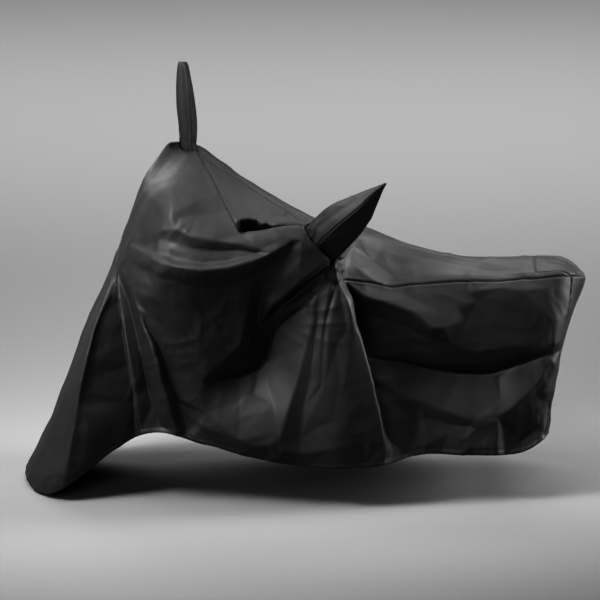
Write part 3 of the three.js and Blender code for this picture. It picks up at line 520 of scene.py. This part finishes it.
class Relief:
    """Heights over the sheet: flat facets between the creases, a little rounded at their edges."""

    def __init__(self, creases):
        places, edges, heights = [], [], []
        for _, marks in creases:
            for k, (along, down, height) in enumerate(marks):
                if k:
                    edges.append((len(places) - 1, len(places)))
                places.append(mark_mm(along, down))
                heights.append(height)
        places += [mark_mm(*mark) for mark in RELIEF_RIM]
        heights += [0] * len(RELIEF_RIM)
        verts, _, faces, origins, _, _ = delaunay_2d_cdt([Vector(p) for p in places], edges, [], 0, 0.01)
        corners = np.array([tuple(v) for v in verts])
        flat = np.array(places)
        values = [np.mean([heights[i] for i in origin]) if origin
                  else self.crossing(corner, flat, edges, heights) for corner, origin in zip(corners, origins)]
        self.low = corners.min(0) - RELIEF_MARGIN
        size = np.ceil((corners.max(0) + RELIEF_MARGIN - self.low) / RELIEF_PITCH).astype(int) + 1
        self.grid = np.zeros(size)
        for face in faces:
            self.fill(corners[list(face)], [values[i] for i in face])
        reach = int(3 * RELIEF_BLUR / RELIEF_PITCH)
        kernel = np.exp(-0.5 * (np.arange(-reach, reach + 1) * RELIEF_PITCH / RELIEF_BLUR) ** 2)
        kernel /= kernel.sum()
        for axis in (0, 1):
            self.grid = np.apply_along_axis(lambda row: np.convolve(row, kernel, mode="same"), axis, self.grid)

    @staticmethod
    def crossing(corner, flat, edges, heights):
        """The height where creases cross."""
        found = []
        for i, j in edges:
            step = flat[j] - flat[i]
            share = float(np.clip(((corner - flat[i]) @ step) / (step @ step), 0, 1))
            if np.hypot(*(corner - flat[i] - share * step)) < ON_CREASE:
                found.append(heights[i] + share * (heights[j] - heights[i]))
        return np.mean(found) if found else 0.0

    def fill(self, tri, heights):
        """Writes a flat facet into the grid."""
        first = np.maximum(np.floor((tri.min(0) - self.low) / RELIEF_PITCH).astype(int), 0)
        last = np.ceil((tri.max(0) - self.low) / RELIEF_PITCH).astype(int) + 1
        gx, gy = np.meshgrid(np.arange(first[0], last[0]), np.arange(first[1], last[1]), indexing="ij")
        px = self.low[0] + gx * RELIEF_PITCH - tri[2, 0]
        py = self.low[1] + gy * RELIEF_PITCH - tri[2, 1]
        e, f = tri[0] - tri[2], tri[1] - tri[2]
        det = e[0] * f[1] - e[1] * f[0]
        if abs(det) < 1e-6:
            return
        wa = (px * f[1] - py * f[0]) / det
        wb = (py * e[0] - px * e[1]) / det
        hit = (wa >= -1e-9) & (wb >= -1e-9) & (wa + wb <= 1 + 1e-9)
        level = wa * heights[0] + wb * heights[1] + (1 - wa - wb) * heights[2]
        self.grid[gx[hit], gy[hit]] = level[hit]

    def at(self, marks):
        place = (marks - self.low) / RELIEF_PITCH
        cell = np.clip(np.floor(place).astype(int), 0, np.array(self.grid.shape) - 2)
        f = np.clip(place - cell, 0, 1)
        i, j = cell[..., 0], cell[..., 1]
        g = self.grid
        low = g[i, j] * (1 - f[..., 0]) + g[i + 1, j] * f[..., 0]
        high = g[i, j + 1] * (1 - f[..., 0]) + g[i + 1, j + 1] * f[..., 0]
        return low * (1 - f[..., 1]) + high * f[..., 1]


def folded_over(marks):
    """How far the cloth beside the fold lines slides over them, across and up the sheet."""
    slide = np.zeros(marks.shape)
    for fold in FOLDS:
        off, along = beside(marks, marks_mm(fold["line"]))
        share = np.where(off > 0, np.exp(-(off / fold["reach"]) ** 2), np.clip(1 + off / fold["strip"], 0, 1))
        share *= smooth(along / FOLD_OPENS) * smooth((1 - along) / FOLD_CLOSES)
        slide += (share * fold["over"])[..., None] * np.array(fold["way"])
    return slide


def hash01(i, seed):
    """A number from 0 to 1 for each cell, always the same for the same seed."""
    h = (i[..., 0] * 374761393 + i[..., 1] * 668265263 + i[..., 2] * 2147483647 + seed * 1274126177)
    h = (h ^ (h >> 13)) * 1274126177
    h = h ^ (h >> 16)
    return (h & 0xFFFFFF) / float(0xFFFFFF)


def noise(points, scale, seed):
    """Value noise from -1 to 1 with features about scale mm across."""
    q = points / scale + 1000.0
    cell = np.floor(q).astype(np.int64)
    f = q - cell
    f = f * f * f * (f * (f * 6 - 15) + 10)
    total = np.zeros(points.shape[:-1])
    for dx, dy, dz in np.ndindex(2, 2, 2):
        weight = 1.0
        for axis, step in enumerate((dx, dy, dz)):
            weight = weight * (f[..., axis] if step else 1 - f[..., axis])
        total += weight * hash01(cell + np.array([dx, dy, dz]), seed)
    return total * 2 - 1


def crumple(points):
    """Small facets such as coated cloth keeps from its folding."""
    p = points + np.stack([noise(points, WARP_WIDE, seed) for seed in (11, 12, 13)], -1) * WARP
    worn = smooth(0.5 + 0.9 * noise(points, PATCH_WIDE, 4))
    return sum((1 - np.abs(noise(p * squeeze, wide, seed)) * 2) * (height + patchy * worn)
               for wide, squeeze, seed, height, patchy in FACETS)


def puckers(run, distance, waver, kind):
    wave = np.sin(run * (math.tau / kind["long"]) + kind["waver"] * waver)
    return kind["height"] * wave * np.exp(-distance / kind["reach"])


class Side:
    """One half of the shell on a fine grid, in sheet mm."""

    def __init__(self, side, fold_scale, crumple_scale):
        self.side = side
        w0, w1 = (0, CROWN_ROW) if side > 0 else (CROWN_ROW, LAST_ROW)
        u, w = np.linspace(0, LAST_SECTION, STEPS_ALONG + 1), np.linspace(w0, w1, STEPS_UP + 1)
        base = smooth_shell(u, w)
        uu, ww = np.meshgrid(u, w, indexing="ij")
        below = side * (CROWN_ROW - ww)
        view = np.array([0, -side * LEAN_COS, LEAN_SIN])
        facing = grid_normals(base) @ view
        height = Relief(CREASES if side > 0 else RIGHT_CREASES).at(sheet_marks(base, side)) * fold_scale
        height *= smooth(uu / END_FADE) * smooth((LAST_SECTION - uu) / END_FADE) * smooth(below / CROWN_FADE)
        height *= smooth(facing / FACING_FADE) / np.maximum(facing, FACING_LEAST)
        points = base + view * height[..., None]
        if side > 0:
            slide = folded_over(sheet_marks(base, side))
            points = points + slide @ np.array([[1, 0, 0], [0, LEAN_SIN, LEAN_COS]])
        self.rim = smooth(uu / END_RIM) * smooth((LAST_SECTION - uu) / END_RIM) * smooth(below / CROWN_RIM)
        small = crumple(base) * crumple_scale * self.rim
        self.points = points + grid_normals(points) * small[..., None]
        self.normal = grid_normals(self.points)
        self.mark = sheet_marks(base, side)


def area_fields(s):
    """Signed fields of the panels on one side, in the order in which they are cut."""
    areas = {"apron": APRON_AREA, "dash": DASH_AREA, "top": TOP_AREA, "tail": None, "side_rear": REAR_AREA}
    if s.side < 0:
        areas["top"] = RIGHT_TOP_AREA
        del areas["dash"]
    tail = inside(s.points[..., 1:3], np.array(TAIL_AREA, float))
    tail = np.minimum(tail, s.points[..., 0] - TAIL_FROM_X)
    return {name: tail if area is None else inside(s.mark, marks_mm(area)) for name, area in areas.items()}


def pocket_frame(pocket):
    across = pocket["across"]
    wide = np.array([across[0], 0, -across[1] / LEAN_COS])
    deep = np.array([0, LEAN_COS, -LEAN_SIN])
    return wide / np.linalg.norm(wide), deep


def pocket_rings(pocket, t):
    """Middle, half width, half depth and seam offset at places t along the pocket, on a smooth curve."""
    rows = np.array([[*on_sheet(m), h, d, s] for m, h, d, s in pocket["rings"]], float)
    padded = np.concatenate([2 * rows[:1] - rows[1:2], rows, 2 * rows[-1:] - rows[-2:-1]])
    values = spline(len(padded), t, len(rows) - 1) @ padded
    values[:, 3:5] = np.maximum(values[:, 3:5], POCKET_LEAST)
    return values


def pocket_field(points, pocket):
    """Positive outside the pocket's rings and negative in its mouth, roughly in mm."""
    wide, deep = pocket_frame(pocket)
    axis = np.cross(wide, deep)
    best = np.full(points.shape[:-1], np.inf)
    for row in pocket_rings(pocket, np.linspace(0, MOUTH_LAST, MOUTH_PLACES)):
        off = points - row[:3]
        ring = (np.hypot(off @ wide / row[3], off @ deep / row[4]) - 1) * min(row[3], row[4])
        best = np.minimum(best, np.maximum(ring, np.abs(off @ axis) - MOUTH_BAND))
    return best


def cut_by(bm, ids, values, column):
    """Cuts the faces where a field changes sign, so that an edge runs along its zero."""
    new = []
    for edge in list(bm.edges):
        a, b = edge.verts
        fa, fb = values[a[ids]][column], values[b[ids]][column]
        if (fa > 0) == (fb > 0) or fa == 0 or fb == 0:
            continue
        share = fa / (fa - fb)
        if share < CUT_SNAP or share > 1 - CUT_SNAP:
            near = a if share < CUT_SNAP else b
            values[near[ids]][column] = 0.0
            new.append(near)
            continue
        _, vert = bmesh.utils.edge_split(edge, a, share)
        row = [x + (y - x) * share for x, y in zip(values[a[ids]], values[b[ids]])]
        row[column] = 0.0
        vert[ids] = len(values)
        values.append(row)
        new.append(vert)
    if new:
        bmesh.ops.connect_verts(bm, verts=list(dict.fromkeys(new)))


class SocketMath:
    """A value socket with Python's operators."""

    def __init__(self, kit, socket):
        self.kit = kit
        self.socket = socket

    def op(self, name, other=None, flip=False):
        a, b = (other, self) if flip else (self, other)
        values = [a] if b is None else [a, b]
        return self.kit.value("ShaderNodeMath", {"operation": name}, dict(enumerate(values)))

    def __add__(self, other):
        return self.op("ADD", other)

    def __radd__(self, other):
        return self.op("ADD", other, True)

    def __sub__(self, other):
        return self.op("SUBTRACT", other)

    def __rsub__(self, other):
        return self.op("SUBTRACT", other, True)

    def __mul__(self, other):
        return self.op("MULTIPLY", other)

    def __rmul__(self, other):
        return self.op("MULTIPLY", other, True)

    def __truediv__(self, other):
        return self.op("DIVIDE", other)

    def __rtruediv__(self, other):
        return self.op("DIVIDE", other, True)

    def __pow__(self, other):
        return self.op("POWER", other)

    def __rpow__(self, other):
        return self.op("POWER", other, True)

    def sine(self):
        return self.op("SINE")

    def absolute(self):
        return self.op("ABSOLUTE")

    def below(self, other):
        return self.op("LESS_THAN", other)

    def above(self, other):
        return self.op("GREATER_THAN", other)

    def clamped(self):
        return self.kit.value("ShaderNodeClamp", {}, {0: self})


class NodeKit:
    """Adds nodes to a material and links their sockets."""

    def __init__(self, material):
        material.use_nodes = True
        self.tree = material.node_tree
        self.tree.nodes.clear()

    def add(self, kind, settings, inputs):
        node = self.tree.nodes.new(kind)
        for key, value in settings.items():
            setattr(node, key, value)
        for key, value in inputs.items():
            socket = node.inputs[key]
            if isinstance(value, SocketMath):
                self.tree.links.new(value.socket, socket)
            elif isinstance(value, bpy.types.NodeSocket):
                self.tree.links.new(value, socket)
            else:
                socket.default_value = value
        return node

    def value(self, kind, settings, inputs, output=0):
        return SocketMath(self, self.add(kind, settings, inputs).outputs[output])

    def mixed(self, share, first, second):
        """A colour between two, each a colour or a link."""
        return self.add("ShaderNodeMix", {"data_type": "RGBA"}, {0: share, 6: first, 7: second}).outputs[2]


def cloth_material(cloth):
    """Black coated taffeta: fine weave, satin coat, seams with their stitches and painted shade along their
    grooves, faint scuffs.
    """
    material = bpy.data.materials.new("coated_taffeta")
    kit = NodeKit(material)
    place = kit.add("ShaderNodeTexCoord", {}, {}).outputs["Object"]
    uv = kit.add("ShaderNodeUVMap", {"uv_map": "UVMap"}, {}).outputs["UV"]
    seam = kit.value("ShaderNodeAttribute", {"attribute_name": "seam"}, {}, "Fac")
    run = kit.value("ShaderNodeAttribute", {"attribute_name": "run"}, {}, "Fac")
    scuff = kit.value("ShaderNodeTexNoise", {}, {
        "Vector": place, "Scale": 5.5, "Detail": 6.0, "Roughness": 0.62})
    fine = kit.value("ShaderNodeTexNoise", {}, {
        "Vector": place, "Scale": 60.0, "Detail": 3.0, "Roughness": 0.6})
    weave_u = kit.value("ShaderNodeSeparateXYZ", {}, {"Vector": uv}, "X")
    weave_v = kit.value("ShaderNodeSeparateXYZ", {}, {"Vector": uv}, "Y")
    weave = (weave_u * (math.tau / cloth.thread)).sine() * (weave_v * (math.tau / cloth.thread)).sine()
    line = (seam - cloth.stitch_inset).absolute().below(STITCH_HALF)
    stitch = line * (run * (math.tau / cloth.stitch_length)).sine().above(-0.35)
    # The seam's groove is a bump and also painted shade: the colour goes towards near-black along the seam
    # line
    groove_and_painted_shade = (1.0 - (seam / SEAM_GROOVE_SHADE_HALF).clamped()) ** 1.3
    colour = kit.mixed(scuff * 0.5 + fine * 0.35, (*cloth.colour_deep, 1.0), (*cloth.colour, 1.0))
    colour = kit.mixed(stitch * 0.6, colour, (*cloth.stitch_colour, 1.0))
    # Painted shade: the cloth is mixed towards near-black in the seam's groove
    colour = kit.mixed(groove_and_painted_shade * 0.95, colour, SEAM_SHADE_COLOUR)
    roughness = cloth.roughness + (scuff - 0.5) * 0.14 + (fine - 0.5) * 0.08
    height = weave * 0.03 + fine * 0.16 + scuff * 0.5 + stitch * 0.35 - groove_and_painted_shade * 1.4
    bump = kit.add("ShaderNodeBump", {}, {"Strength": 0.35, "Distance": 0.0012, "Height": height}).outputs[0]
    shader = kit.add("ShaderNodeBsdfPrincipled", {}, {
        "Base Color": colour, "Roughness": roughness, "Normal": bump, "Metallic": 0.0,
        "Specular IOR Level": cloth.specular, "Sheen Weight": cloth.sheen, "Sheen Roughness": 0.4})
    kit.add("ShaderNodeOutputMaterial", {}, {"Surface": shader.outputs[0]})
    return material


def sheet_piece(context, bm, node, flat, area):
    """Makes a cloth piece of a bmesh: its thickness, material and place in the frame."""
    cloth = context.scene.cover_cloth
    mesh = bpy.data.meshes.new(node + "_cloth")
    bm.to_mesh(mesh)
    bm.free()
    mesh.polygons.foreach_set("use_smooth", [True] * len(mesh.polygons))
    mesh.materials.append(bpy.data.materials.get("coated_taffeta") or cloth_material(cloth))
    obj = bpy.data.objects.new(node + "_cloth", mesh)
    context.scene.collection.objects.link(obj)
    solid = obj.modifiers.new("thickness", "SOLIDIFY")
    solid.thickness = cloth.thickness
    solid.offset = -1.0
    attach(obj, "root")
    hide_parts(node)


def shell_bmesh(s):
    """One side as a grid whose vertices carry the number of their row of place, normal and fields."""
    bm = bmesh.new()
    bmesh.ops.create_grid(bm, x_segments=STEPS_ALONG, y_segments=STEPS_UP, size=0.5)
    fields = area_fields(s)
    mouth = np.minimum(pocket_field(s.points, LEFT_POCKET), pocket_field(s.points, RIGHT_POCKET))
    seams = ([APRON_SEAM, DASH_SEAM, BAR_SEAM, SHOULDER_SEAM, SEAT_SEAM] if s.side > 0
             else [APRON_SEAM, RIGHT_TOP_SEAM, SEAT_SEAM, SIDE_SEAM])
    distance = np.full(s.mark.shape[:-1], np.inf)
    run = np.zeros_like(distance)
    for seam in seams:
        away, along = along_line(s.mark, marks_mm(seam))
        run = np.where(away < distance, along, run)
        distance = np.minimum(distance, away)
    tail = np.abs(fields["tail"])
    run = np.where(tail < distance, s.points[..., 2], run)
    distance = np.minimum(distance, tail)
    hem = np.linalg.norm(s.points - (s.points[:, :1] if s.side > 0 else s.points[:, -1:]), axis=-1)
    step_u, step_w = (np.linalg.norm(np.gradient(s.points, axis=axis), axis=-1) for axis in (0, 1))
    long_u = np.cumsum(step_u.mean(1))[:, None] + np.zeros_like(distance)
    extra = {**fields, "mouth": mouth, "seam": distance, "run": run, "hem": hem, "rim": s.rim, "u": long_u,
             "w": np.cumsum(step_w, axis=1)}
    stack = np.concatenate([s.points, s.normal, np.stack(list(extra.values()), -1)], -1)
    rows = stack.reshape(-1, stack.shape[-1]).tolist()
    ids = bm.verts.layers.int.new("row")
    for vert in bm.verts:
        i, j = round((vert.co.x + 0.5) * STEPS_ALONG), round((vert.co.y + 0.5) * STEPS_UP)
        vert[ids] = i * (STEPS_UP + 1) + j
        vert.co = rows[vert[ids]][:3]
    columns = {name: PLACE_AND_NORMAL + k for k, name in enumerate(extra)}
    return bm, ids, rows, list(fields), columns


def dress(bm, ids, rows, columns, cloth):
    """Puckers beside the seams, the sunk seam line and the stitched hem, then metres in the frame."""
    data = np.array([rows[v[ids]] for v in bm.verts])
    p, n = data[:, :3], data[:, 3:6]
    seam, run, hem, rim, u = (data[:, columns[name]] for name in ("seam", "run", "hem", "rim", "u"))
    uneven = 0.5 + 0.5 * noise(p, 90, 22)
    lift = cloth.pucker * uneven * puckers(run, seam, noise(p, 60, 21), SEAM_PUCKERS)
    lift += cloth.pucker * puckers(u, hem, noise(p, 80, 23), HEM_PUCKERS)
    lift += swell(seam, *SEAM_LIP) + swell(seam, *SEAM_GROOVE)
    lift += swell(hem, *HEM_ROLL) + swell(hem, *HEM_STITCH_LINE)
    out = (p + n * (lift * np.clip(rim, 0, 1))[:, None] + ORIGIN_SHIFT) * MM
    for vert, co in zip(bm.verts, out.tolist()):
        vert.co = co


def panel_of(face, ids, rows, names, columns):
    """The panel that a face belongs to, or None inside a pocket's mouth."""
    row = [rows[v[ids]] for v in face.verts]
    if sum(r[columns["mouth"]] for r in row) < 0:
        return None
    for name in names:
        if sum(r[columns[name]] for r in row) > 0:
            return name
    return "side_front"


def panel_part(bm, keep, rows, columns):
    """The faces with one tag as a bmesh of their own, with its UV map and its seam attributes."""
    part = bm.copy()
    tag = part.faces.layers.int["panel"]
    bmesh.ops.delete(part, geom=[f for f in part.faces if f[tag] != keep], context="FACES")
    ids = part.verts.layers.int["row"]
    uv = part.loops.layers.uv.new("UVMap")
    seam = part.verts.layers.float.new("seam")
    run = part.verts.layers.float.new("run")
    for vert in part.verts:
        row = rows[vert[ids]]
        vert[seam] = abs(row[columns["seam"]]) * MM
        vert[run] = row[columns["run"]] * MM
    for face in part.faces:
        for loop in face.loops:
            row = rows[loop.vert[ids]]
            loop[uv].uv = (row[columns["u"]] * MM, row[columns["w"]] * MM)
    return part


class CoverCloth(bpy.types.PropertyGroup):
    thickness: FloatProperty(name="Thickness", description="Thickness of the cloth", default=0.0012,
                             unit="LENGTH")
    fold_scale: FloatProperty(name="Folds", description="Scale of the main folds", default=1.2)
    crumple: FloatProperty(name="Crumple", description="Scale of the small facets", default=1.0)
    pucker: FloatProperty(name="Puckers", description="Height of the puckers at seams in mm", default=0.3)
    thread: FloatProperty(name="Thread", description="Pitch of the weave", default=0.0009, unit="LENGTH")
    stitch_length: FloatProperty(name="Stitch", description="Length of a stitch", default=0.005,
                                 unit="LENGTH")
    stitch_inset: FloatProperty(name="Stitch inset", description="Stitches stand off the seam by this",
                                default=0.005, unit="LENGTH")
    colour: FloatVectorProperty(name="Colour", description="Colour of the coated face", subtype="COLOR",
                                default=(0.0115, 0.0117, 0.012))
    colour_deep: FloatVectorProperty(name="Deep colour", description="Colour where it is least worn",
                                     subtype="COLOR", default=(0.006, 0.0061, 0.0063))
    stitch_colour: FloatVectorProperty(name="Stitches", description="Colour of the thread", subtype="COLOR",
                                       default=(0.012, 0.012, 0.0123))
    roughness: FloatProperty(name="Roughness", description="Roughness of the coat", default=0.58)
    specular: FloatProperty(name="Gloss", description="Specular level", default=0.2)
    sheen: FloatProperty(name="Sheen", description="Sheen of the threads", default=0.0)


class CoverStage(bpy.types.PropertyGroup):
    floor_colour: FloatVectorProperty(name="Floor", description="Colour of the floor", subtype="COLOR",
                                      default=(0.11, 0.11, 0.11))
    camera_distance: FloatProperty(name="Camera distance", description="From the cover", default=25.0,
                                   unit="LENGTH")
    view_width: FloatProperty(name="View width", description="Width of the picture at the cover",
                              default=2.25, unit="LENGTH")
    overhead: FloatProperty(name="Overhead", description="Power of the overhead soft box", default=54.0)
    backdrop: FloatProperty(name="Backdrop", description="Power of the soft box over the backdrop",
                            default=720.0)
    left: FloatProperty(name="Left box", description="Power of the soft box before the nose", default=72.0)
    right: FloatProperty(name="Right box", description="Power of the soft box past the tail", default=9.0)
    front: FloatProperty(name="Front box", description="Power of the soft box by the camera", default=8.0)
    rear: FloatProperty(name="Rear box", description="Power of the soft box beyond the nose", default=14.0)
    seat: FloatProperty(name="Seat box", description="Power of the soft box over the seat", default=4.0)
    nose: FloatProperty(name="Nose box", description="Power of the low soft box before the nose",
                        default=24.0)
    corner: FloatProperty(name="Corner box", description="Power of the low soft box past the tail",
                          default=26.0)
    gamma: FloatProperty(name="Gamma", description="Below 1 deepens the blacks", default=0.63)
    exposure: FloatProperty(name="Exposure", description="In stops", default=1.1)
    fill: FloatProperty(name="Fill", description="Strength of the light all round", default=0.05)


class COVER_OT_shell(bpy.types.Operator):
    """Models the panels of the cover's shell"""

    bl_idname = "cover.shell"
    bl_label = "Shell panels"

    def execute(self, context):
        cloth = context.scene.cover_cloth
        halves = {}
        for side in (1, -1):
            bm, ids, rows, names, columns = shell_bmesh(Side(side, cloth.fold_scale, cloth.crumple))
            for name in ["mouth", *names]:
                cut_by(bm, ids, rows, columns[name])
            dress(bm, ids, rows, columns, cloth)
            tag = bm.faces.layers.int.new("panel")
            order = [None, *names, "side_front"]
            for face in bm.faces:
                face[tag] = order.index(panel_of(face, ids, rows, names, columns))
            for keep, name in enumerate(order[1:], 1):
                halves.setdefault(name, {})[side] = panel_part(bm, keep, rows, columns)
            bm.free()
        for name, parts in halves.items():
            if name in ("side_front", "side_rear"):
                for side, part in parts.items():
                    self.make(context, f"{name}_{'left' if side > 0 else 'right'}", [part])
            else:
                self.make(context, name, list(parts.values()))
        return {"FINISHED"}

    def make(self, context, name, parts):
        """Joins the halves of a panel along the middle."""
        mesh = bpy.data.meshes.new("halves")
        whole = bmesh.new()
        for part in parts:
            part.to_mesh(mesh)
            part.free()
            whole.from_mesh(mesh)
        bpy.data.meshes.remove(mesh)
        bmesh.ops.remove_doubles(whole, verts=whole.verts, dist=JOIN)
        sheet_piece(context, whole, name, *FLAT[name])


class COVER_OT_pockets(bpy.types.Operator):
    """Models the halves of the two mirror pockets"""

    bl_idname = "cover.pockets"
    bl_label = "Mirror pockets"

    def execute(self, context):
        for pocket, name, halves in ((LEFT_POCKET, "mirror_pocket_left", ("upper", "lower")),
                                     (RIGHT_POCKET, "mirror_pocket_right", ("front", "rear"))):
            for start, half in zip((math.pi / 2, -math.pi / 2), halves):
                bm = self.half(pocket, start)
                sheet_piece(context, bm, f"{name}_{half}", *FLAT[name])
        return {"FINISHED"}

    def half(self, pocket, start):
        """One half of a pocket as a bmesh, from the seam at an angle half way round."""
        wide, deep = pocket_frame(pocket)
        bm = bmesh.new()
        bmesh.ops.create_grid(bm, x_segments=POCKET_STEPS, y_segments=POCKET_ARC, size=0.5)
        t = np.linspace(0, len(pocket["rings"]) - 1, POCKET_STEPS + 1)
        rows = pocket_rings(pocket, t)
        angle = start + np.linspace(0, math.pi, POCKET_ARC + 1)
        cos, sin = np.cos(angle)[None, :, None], np.sin(angle)[None, :, None]
        flat = 1 - POCKET_FLATTEN * np.abs(np.sin(2 * angle))[None, :, None]
        centre = rows[:, None, :3]
        p = (centre + wide * (cos * flat * rows[:, None, 3:4] + rows[:, None, 5:6] * sin**2)
             + deep * sin * flat * rows[:, None, 4:5])
        n = grid_normals(p)
        n = np.where(((p - centre) * n).sum(-1, keepdims=True) < 0, -n, n)
        tt, aa = np.meshgrid(t, np.linspace(0, 1, POCKET_ARC + 1), indexing="ij")
        edge = np.minimum(aa, 1 - aa)
        size = rows[:, None, 3] / POCKET_WIDE
        gather = np.abs(np.sin(aa * math.pi * GATHER_FOLDS + GATHER_WAVER * noise(p, 60, 31)))
        gather *= np.exp(-np.abs(tt - GATHER_RING) / GATHER_REACH) * pocket["gather"]
        seam = edge * math.pi * rows[:, None, 3]
        height = (crumple(p * POCKET_FINER) * POCKET_LOWER * size - gather) * smooth(edge / POCKET_FADE)
        height += swell(seam, *POCKET_LIP) * size
        p = (p + n * height[..., None] + ORIGIN_SHIFT) * MM
        seam_layer = bm.verts.layers.float.new("seam")
        run_layer = bm.verts.layers.float.new("run")
        places = {vert: (round((vert.co.x + 0.5) * POCKET_STEPS), round((vert.co.y + 0.5) * POCKET_ARC))
                  for vert in bm.verts}
        uv = bm.loops.layers.uv.new("UVMap")
        for face in bm.faces:
            for loop in face.loops:
                i, j = places[loop.vert]
                loop[uv].uv = (i * POCKET_UV[0], j * POCKET_UV[1])
        for vert, (i, j) in places.items():
            vert.co = p[i, j].tolist()
            vert[seam_layer] = float(seam[i, j]) * MM
            vert[run_layer] = i * POCKET_UV[0]
        bm.normal_update()
        middle = Vector(((rows[len(rows) // 2, :3] + ORIGIN_SHIFT) * MM).tolist())
        bm.faces.ensure_lookup_table()
        face = bm.faces[len(bm.faces) // 2]
        if face.normal.dot(face.calc_center_median() - middle) < 0:
            bmesh.ops.reverse_faces(bm, faces=bm.faces)
        return bm


class COVER_OT_stage(bpy.types.Operator):
    """Sets the floor, the lights and the camera"""

    bl_idname = "cover.stage"
    bl_label = "Studio"

    def execute(self, context):
        scene = context.scene
        stage = scene.cover_stage
        scene.view_settings.view_transform = "Standard"
        scene.view_settings.gamma = stage.gamma
        scene.view_settings.exposure = stage.exposure
        self.floor(scene, stage)
        for name, power, place, aim, size, spread in BOXES:
            light = bpy.data.lights.new(name, "AREA")
            light.shape = "RECTANGLE"
            light.size, light.size_y = size
            light.energy = getattr(stage, power)
            light.spread = math.radians(spread)
            lamp = bpy.data.objects.new(name, light)
            lamp.location = place
            lamp.rotation_euler = (Vector(aim) - Vector(place)).to_track_quat("-Z", "Y").to_euler()
            scene.collection.objects.link(lamp)
        world = bpy.data.worlds.new("studio")
        world.use_nodes = True
        world.node_tree.nodes["Background"].inputs[0].default_value = FILL_COLOUR
        world.node_tree.nodes["Background"].inputs[1].default_value = stage.fill
        scene.world = world
        camera = bpy.data.cameras.new("camera")
        camera.sensor_width = SENSOR
        camera.lens = SENSOR * stage.camera_distance / stage.view_width
        camera.clip_end = SEES
        rig = bpy.data.objects.new("camera", camera)
        away = np.array([0, -LEAN_COS, LEAN_SIN]) * stage.camera_distance
        rig.location = (on_sheet(AIM_MARK) + ORIGIN_SHIFT) * MM + away
        rig.rotation_euler = (-Vector(away)).to_track_quat("-Z", "Y").to_euler()
        scene.collection.objects.link(rig)
        scene.camera = rig
        return {"FINISHED"}

    def floor(self, scene, stage):
        bm = bmesh.new()
        bmesh.ops.create_grid(bm, x_segments=1, y_segments=1, size=FLOOR_HALF)
        bmesh.ops.translate(bm, verts=bm.verts, vec=(0, 0, -FLOOR_DROP))
        mesh = bpy.data.meshes.new("floor")
        bm.to_mesh(mesh)
        bm.free()
        floor = bpy.data.objects.new("floor", mesh)
        scene.collection.objects.link(floor)
        material = bpy.data.materials.new("floor_paper")
        kit = NodeKit(material)
        shader = kit.add("ShaderNodeBsdfPrincipled", {}, {
            "Base Color": (*stage.floor_colour, 1.0), "Roughness": 0.9, "Specular IOR Level": 0.1})
        kit.add("ShaderNodeOutputMaterial", {}, {"Surface": shader.outputs[0]})
        mesh.materials.append(material)


class COVER_PT_panel(bpy.types.Panel):
    """Lists the cover's sizes and steps"""

    bl_label = "Cover"
    bl_space_type = "VIEW_3D"
    bl_region_type = "UI"
    bl_category = "Cover"

    def draw(self, context):
        for group in (context.scene.cover_cloth, context.scene.cover_stage):
            for name in group.__annotations__:
                self.layout.prop(group, name)
        for operator in (COVER_OT_shell, COVER_OT_pockets, COVER_OT_stage):
            self.layout.operator(operator.bl_idname)


CLASSES = (CoverCloth, CoverStage, COVER_OT_shell, COVER_OT_pockets, COVER_OT_stage, COVER_PT_panel)


def register():
    for cls in CLASSES:
        bpy.utils.register_class(cls)
    bpy.types.Scene.cover_cloth = PointerProperty(type=CoverCloth)
    bpy.types.Scene.cover_stage = PointerProperty(type=CoverStage)


def unregister():
    del bpy.types.Scene.cover_cloth
    del bpy.types.Scene.cover_stage
    for cls in reversed(CLASSES):
        bpy.utils.unregister_class(cls)


def main():
    register()
    bpy.ops.cover.shell()
    bpy.ops.cover.pockets()
    bpy.ops.cover.stage()


if __name__ == "__main__":
    main()
